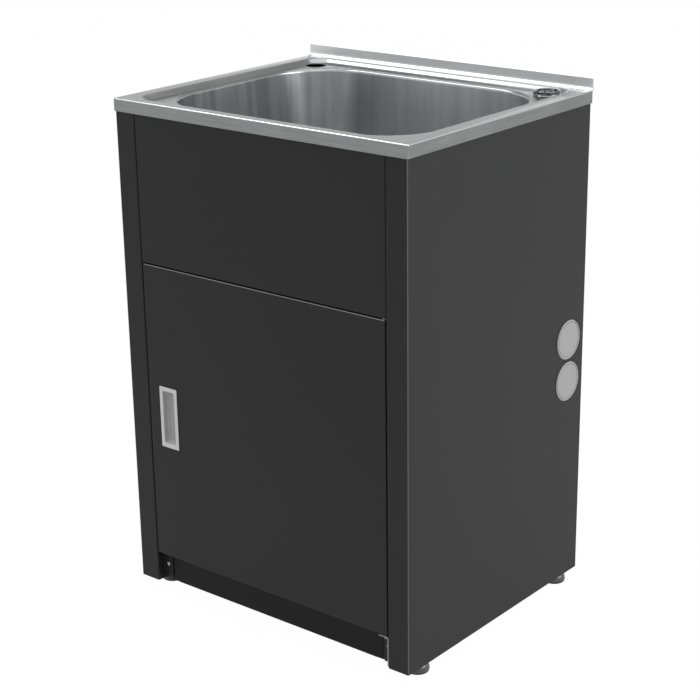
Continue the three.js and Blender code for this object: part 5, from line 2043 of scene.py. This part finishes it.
@dataclass
class Fasteners:
    """Pan-head screws, the door's pivot pins and bushes, and the magnetic catch."""

    head: float = 0.0038
    head_height: float = 0.0019
    head_rim: float = 0.0001
    head_ease: float = 0.0002
    head_crown: tuple[tuple[float, float], ...] = ((0.0, 0.4), (0.0003, 0.72), (0.0009, 0.93), (0.0018, 1.0))
    shank: float = 0.0019
    tip: tuple[Point, ...] = ((0.0006, 0.0), (0.0, -0.0008))
    tip_length: float = 0.0010
    pitch: float = 0.0008
    thread_depth: float = 0.0003
    thread_end: float = 0.0004
    neck: float = 0.0002
    length: float = 0.008
    short_length: float = 0.0048
    recess: float = 0.0048
    recess_width: float = 0.0009
    recess_depth: float = 0.0011
    recess_turn: float = 20.0
    pin: float = 0.002
    pin_ease: float = 0.0004
    pin_head: float = 0.003
    pin_crown: tuple[Point, ...] = ((0.0, 0.003), (0.0, 0.001), (0.0004, 0.0003), (0.001, 0.0))
    bush_bore: float = 0.0023
    bush: float = 0.0033
    bush_collar: float = 0.0036
    bush_flat: float = 0.0009
    bush_collar_foot: float = 0.0012
    bush_ease: float = 0.0002
    catch_edge: float = 0.0004

    def screw(self, length: float) -> Piece:
        """One screw with a cross recess; its head sits on height 0 and looks along +Z.

        Args:
            length: From the tip to the head's seat.

        Returns:
            The screw.
        """
        head, height, shank = self.head, self.head_height, self.shank
        outline = [
            (0.0, -length),
            *beside((shank, -length), self.tip),
            *thread(shank, shank - self.thread_depth, self.tip_length - length, -self.thread_end, self.pitch),
            (shank, -self.neck),
            (shank, 0.0),
            (head - self.head_rim, 0.0),
            (head, self.head_ease),
            *((head - inwards, height * share) for inwards, share in self.head_crown),
            (0.0, height),
        ]
        piece = Bench.turned("screw_model", outline, Facets.SMALL)
        low, high = height - self.recess_depth, 2 * height
        Bench.cut_cross(piece, self.recess / 2, self.recess_width, low, high, self.recess_turn)
        return piece

    def screws(self, palette: Palette) -> None:
        """Copies the screws to every screw node, heads along their own directions.

        Args:
            palette: The finishes.
        """
        directions = {
            "kick_screw": (0.0, -1.0, 0.0),
            "rail_screw": (0.0, 1.0, 0.0),
            "catch_screw": (0.0, 1.0, 0.0),
            "hinge_screw": (-1.0, 0.0, 0.0),
            "upper_panel_screw_left": (1.0, 0.0, 0.0),
            "upper_panel_screw_right": (-1.0, 0.0, 0.0),
        }
        common, short = self.screw(self.length), self.screw(self.short_length)
        for node in sorted(name for name in frame["nodes"] if "screw" in name):
            direction = Vector(next(way for start, way in directions.items() if node.startswith(start)))
            low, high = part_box(node)
            extent = abs((high - low).dot(direction))
            seat = (low + high) / 2 + direction * (extent / 2 - self.head_height)
            model = short if node.startswith("catch_screw") else common
            piece = Bench.add(f"pan_head_{node}", model.data.copy())
            Bench.aim(piece, seat, direction)
            palette.finish(piece, Look.ZINC, node)
        for model in (common, short):
            bpy.data.objects.remove(model)

    def pin_outline(self, half: float) -> list[Point]:
        """A pivot pin's outline, head up, from the middle of its length.

        Args:
            half: Half of its length.

        Returns:
            The points.
        """
        pin, ease = self.pin, self.pin_ease
        start = [(0.0, -half), (pin - ease, -half), (pin, -half + ease), (pin, half - self.pin_crown[0][1])]
        return [*start, *beside((self.pin_head, half), self.pin_crown), (0.0, half)]

    def bush_outline(self, half: float) -> list[Point]:
        """A bush's outline beside its axis, collar up, from the middle of its length.

        Args:
            half: Half of its length.

        Returns:
            The points.
        """
        collar, ease = self.bush_collar, self.bush_ease
        flat, foot = half - self.bush_flat, half - self.bush_collar_foot
        rim = [(collar - ease, flat), (collar, flat - ease), (collar, foot)]
        return [(self.bush_bore, flat), *rim, (self.bush, foot), (self.bush, -half), (self.bush_bore, -half)]

    def pivots(self, palette: Palette) -> None:
        """Turns the two pins and the two bushes of the door.

        Args:
            palette: The finishes.
        """
        for place, way in (("lower", -1.0), ("upper", 1.0)):
            for part, outline, look, hollow in (
                # painted shade: the pins take the darker zinc
                ("pin", self.pin_outline, Look.DULL_ZINC, False),
                ("bush", self.bush_outline, Look.WHITE, True),
            ):
                node = f"hinge_{part}_{place}"
                low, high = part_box(node)
                points = outline((high.z - low.z) / 2)
                piece = Bench.turned(f"pivot_{part}_{place}", points, Facets.SMALL, hollow)
                Bench.aim(piece, (low + high) / 2, (0.0, 0.0, way))
                palette.finish(piece, look, node)

    def build(self, palette: Palette) -> None:
        """Makes the screws and pivots, and softens the catch and its magnet.

        Args:
            palette: The finishes.
        """
        self.screws(palette)
        self.pivots(palette)
        palette.soften("catch_housing", "catch_block", Look.WHITE, self.catch_edge)
        palette.soften("catch_magnet", "catch_ferrite", Look.FERRITE, self.catch_edge)


# Studio


@dataclass(frozen=True)
class SoftLight:
    """One rectangular lamp that looks at a point."""

    name: str
    place: Place
    target: Place
    width: float
    height: float
    power: float

    def hang(self) -> None:
        """Adds the lamp."""
        lamp = bpy.data.lights.new(self.name, "AREA")
        lamp.shape = "RECTANGLE"
        lamp.size = self.width
        lamp.size_y = self.height
        lamp.energy = self.power
        holder = Bench.add(self.name, lamp)
        turn = (Vector(self.target) - Vector(self.place)).to_track_quat("-Z", "Y")
        holder.matrix_world = Matrix.Translation(self.place) @ turn.to_matrix().to_4x4()


@dataclass
class Studio:
    """Pale floor, white surroundings, soft lamps and the camera of the picture."""

    azimuth: float = 0.6841338
    elevation: float = 0.3465435
    roll: float = -0.0142166
    camera_place: Place = (1.78317, -2.20541, 1.42443)
    lens: float = 90.33
    sensor: float = 36.0
    shift: float = 0.0286
    farthest: float = 100.0
    ambient: float = 0.62
    backdrop: tuple[Point, Point] = ((0.10, 1.0), (0.34, 0.0))
    floor_size: float = 40.0
    floor_cells: int = 8
    floor_colour: Colour = (0.6, 0.6, 0.6)
    glow: float = 1.015
    floor_glow: float = 0.97
    mirrored_glow: float = 0.6
    lamps: tuple[SoftLight, ...] = (
        SoftLight("right_softbox", (3.0, 0.6, 1.6), (0.2, 0.0, 0.5), 2.2, 2.2, 65.0),
        SoftLight("left_softbox", (-1.75, -0.8, 3.1), (0.0, 0.0, 0.8), 1.5, 1.0, 28.0),
        SoftLight("top_softbox", (0.0, 0.2, 3.2), (0.0, 0.0, 0.8), 2.8, 2.8, 36.0),
    )

    @staticmethod
    def ray(graph: Graph, kind: str) -> Signal:
        """1 for rays of a kind, by the Light Path node's name for it."""
        return graph.signal(kind, "ShaderNodeLightPath")

    def seen(self, graph: Graph) -> Signal:
        """1 for rays that show the surroundings: from the camera, or mirrored by metal."""
        camera, glossy = self.ray(graph, "Is Camera Ray"), self.ray(graph, "Is Glossy Ray")
        return camera + glossy + self.ray(graph, "Is Transmission Ray") > 0.5

    def surroundings(self) -> None:
        """A world that lights softly, with a white backdrop up to a little above the horizon."""
        world = bpy.data.worlds.new("studio")
        bpy.context.scene.world = world
        graph = Graph(world)
        backdrop = graph.steps(graph.height("Generated"), self.backdrop)
        strength = self.seen(graph) * backdrop * (1.0 - self.ambient) + self.ambient
        sky = graph.node("ShaderNodeBackground", None, {"Color": WHITE, "Strength": strength})
        graph.node("ShaderNodeOutputWorld", None, {"Surface": sky.outputs[0]})

    def floor(self) -> None:
        """A wide pale floor that keeps a trace of the object's shadow."""
        Bench.clear()
        cells = self.floor_cells
        bpy.ops.mesh.primitive_grid_add(x_subdivisions=cells, y_subdivisions=cells, size=self.floor_size)
        ground = Bench.named("studio_floor")
        material = bpy.data.materials.new("pale_floor")
        graph = Graph(material)
        direct = self.ray(graph, "Is Camera Ray") * (self.floor_glow - self.mirrored_glow)
        shown = self.seen(graph) * (direct + self.mirrored_glow)
        matt = graph.node("ShaderNodeBsdfDiffuse", None, {"Color": (*self.floor_colour, 1.0)})
        glow = graph.node("ShaderNodeEmission", None, {"Color": WHITE, "Strength": self.glow})
        sockets = {0: shown, 1: matt.outputs[0], 2: glow.outputs[0]}
        mix = graph.node("ShaderNodeMixShader", None, sockets)
        graph.node("ShaderNodeOutputMaterial", None, {"Surface": mix.outputs[0]})
        ground.data.materials.append(material)

    def camera(self) -> None:
        """The camera at the picture's angle."""
        a, e, r = self.azimuth, self.elevation, self.roll
        back = Vector((math.sin(a) * math.cos(e), -math.cos(a) * math.cos(e), math.sin(e)))
        right = Vector(UP).cross(back).normalized()
        up = back.cross(right)
        rolled_right = right * math.cos(r) + up * math.sin(r)
        rolled_up = up * math.cos(r) - right * math.sin(r)
        data = bpy.data.cameras.new("picture_camera")
        data.lens = self.lens
        data.sensor_width = self.sensor
        data.sensor_fit = "AUTO"
        data.shift_y = self.shift
        data.clip_end = self.farthest
        holder = Bench.add("picture_camera", data)
        turn = Matrix((rolled_right, rolled_up, back)).transposed().to_4x4()
        holder.matrix_world = Matrix.Translation(self.camera_place) @ turn
        bpy.context.scene.camera = holder

    def build(self) -> None:
        """Sets the whole studio."""
        self.surroundings()
        self.floor()
        for lamp in self.lamps:
            lamp.hang()
        self.camera()
        bpy.context.scene.view_settings.view_transform = "Standard"


def main() -> None:
    """Builds the studio and every sub-assembly."""
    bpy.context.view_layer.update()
    Studio().build()
    palette = Palette(FINISHES)
    for assembly in (
        FoldedSheets(),
        Trough(),
        Bypass(),
        Waste(),
        DoorPull(),
        HoseCaps(),
        LevellingFeet(),
        Fasteners(),
    ):
        log.info("building %s", type(assembly).__name__)
        assembly.build(palette)
    Bench.clear()
    bpy.context.view_layer.update()


if __name__ == "__main__":
    main()
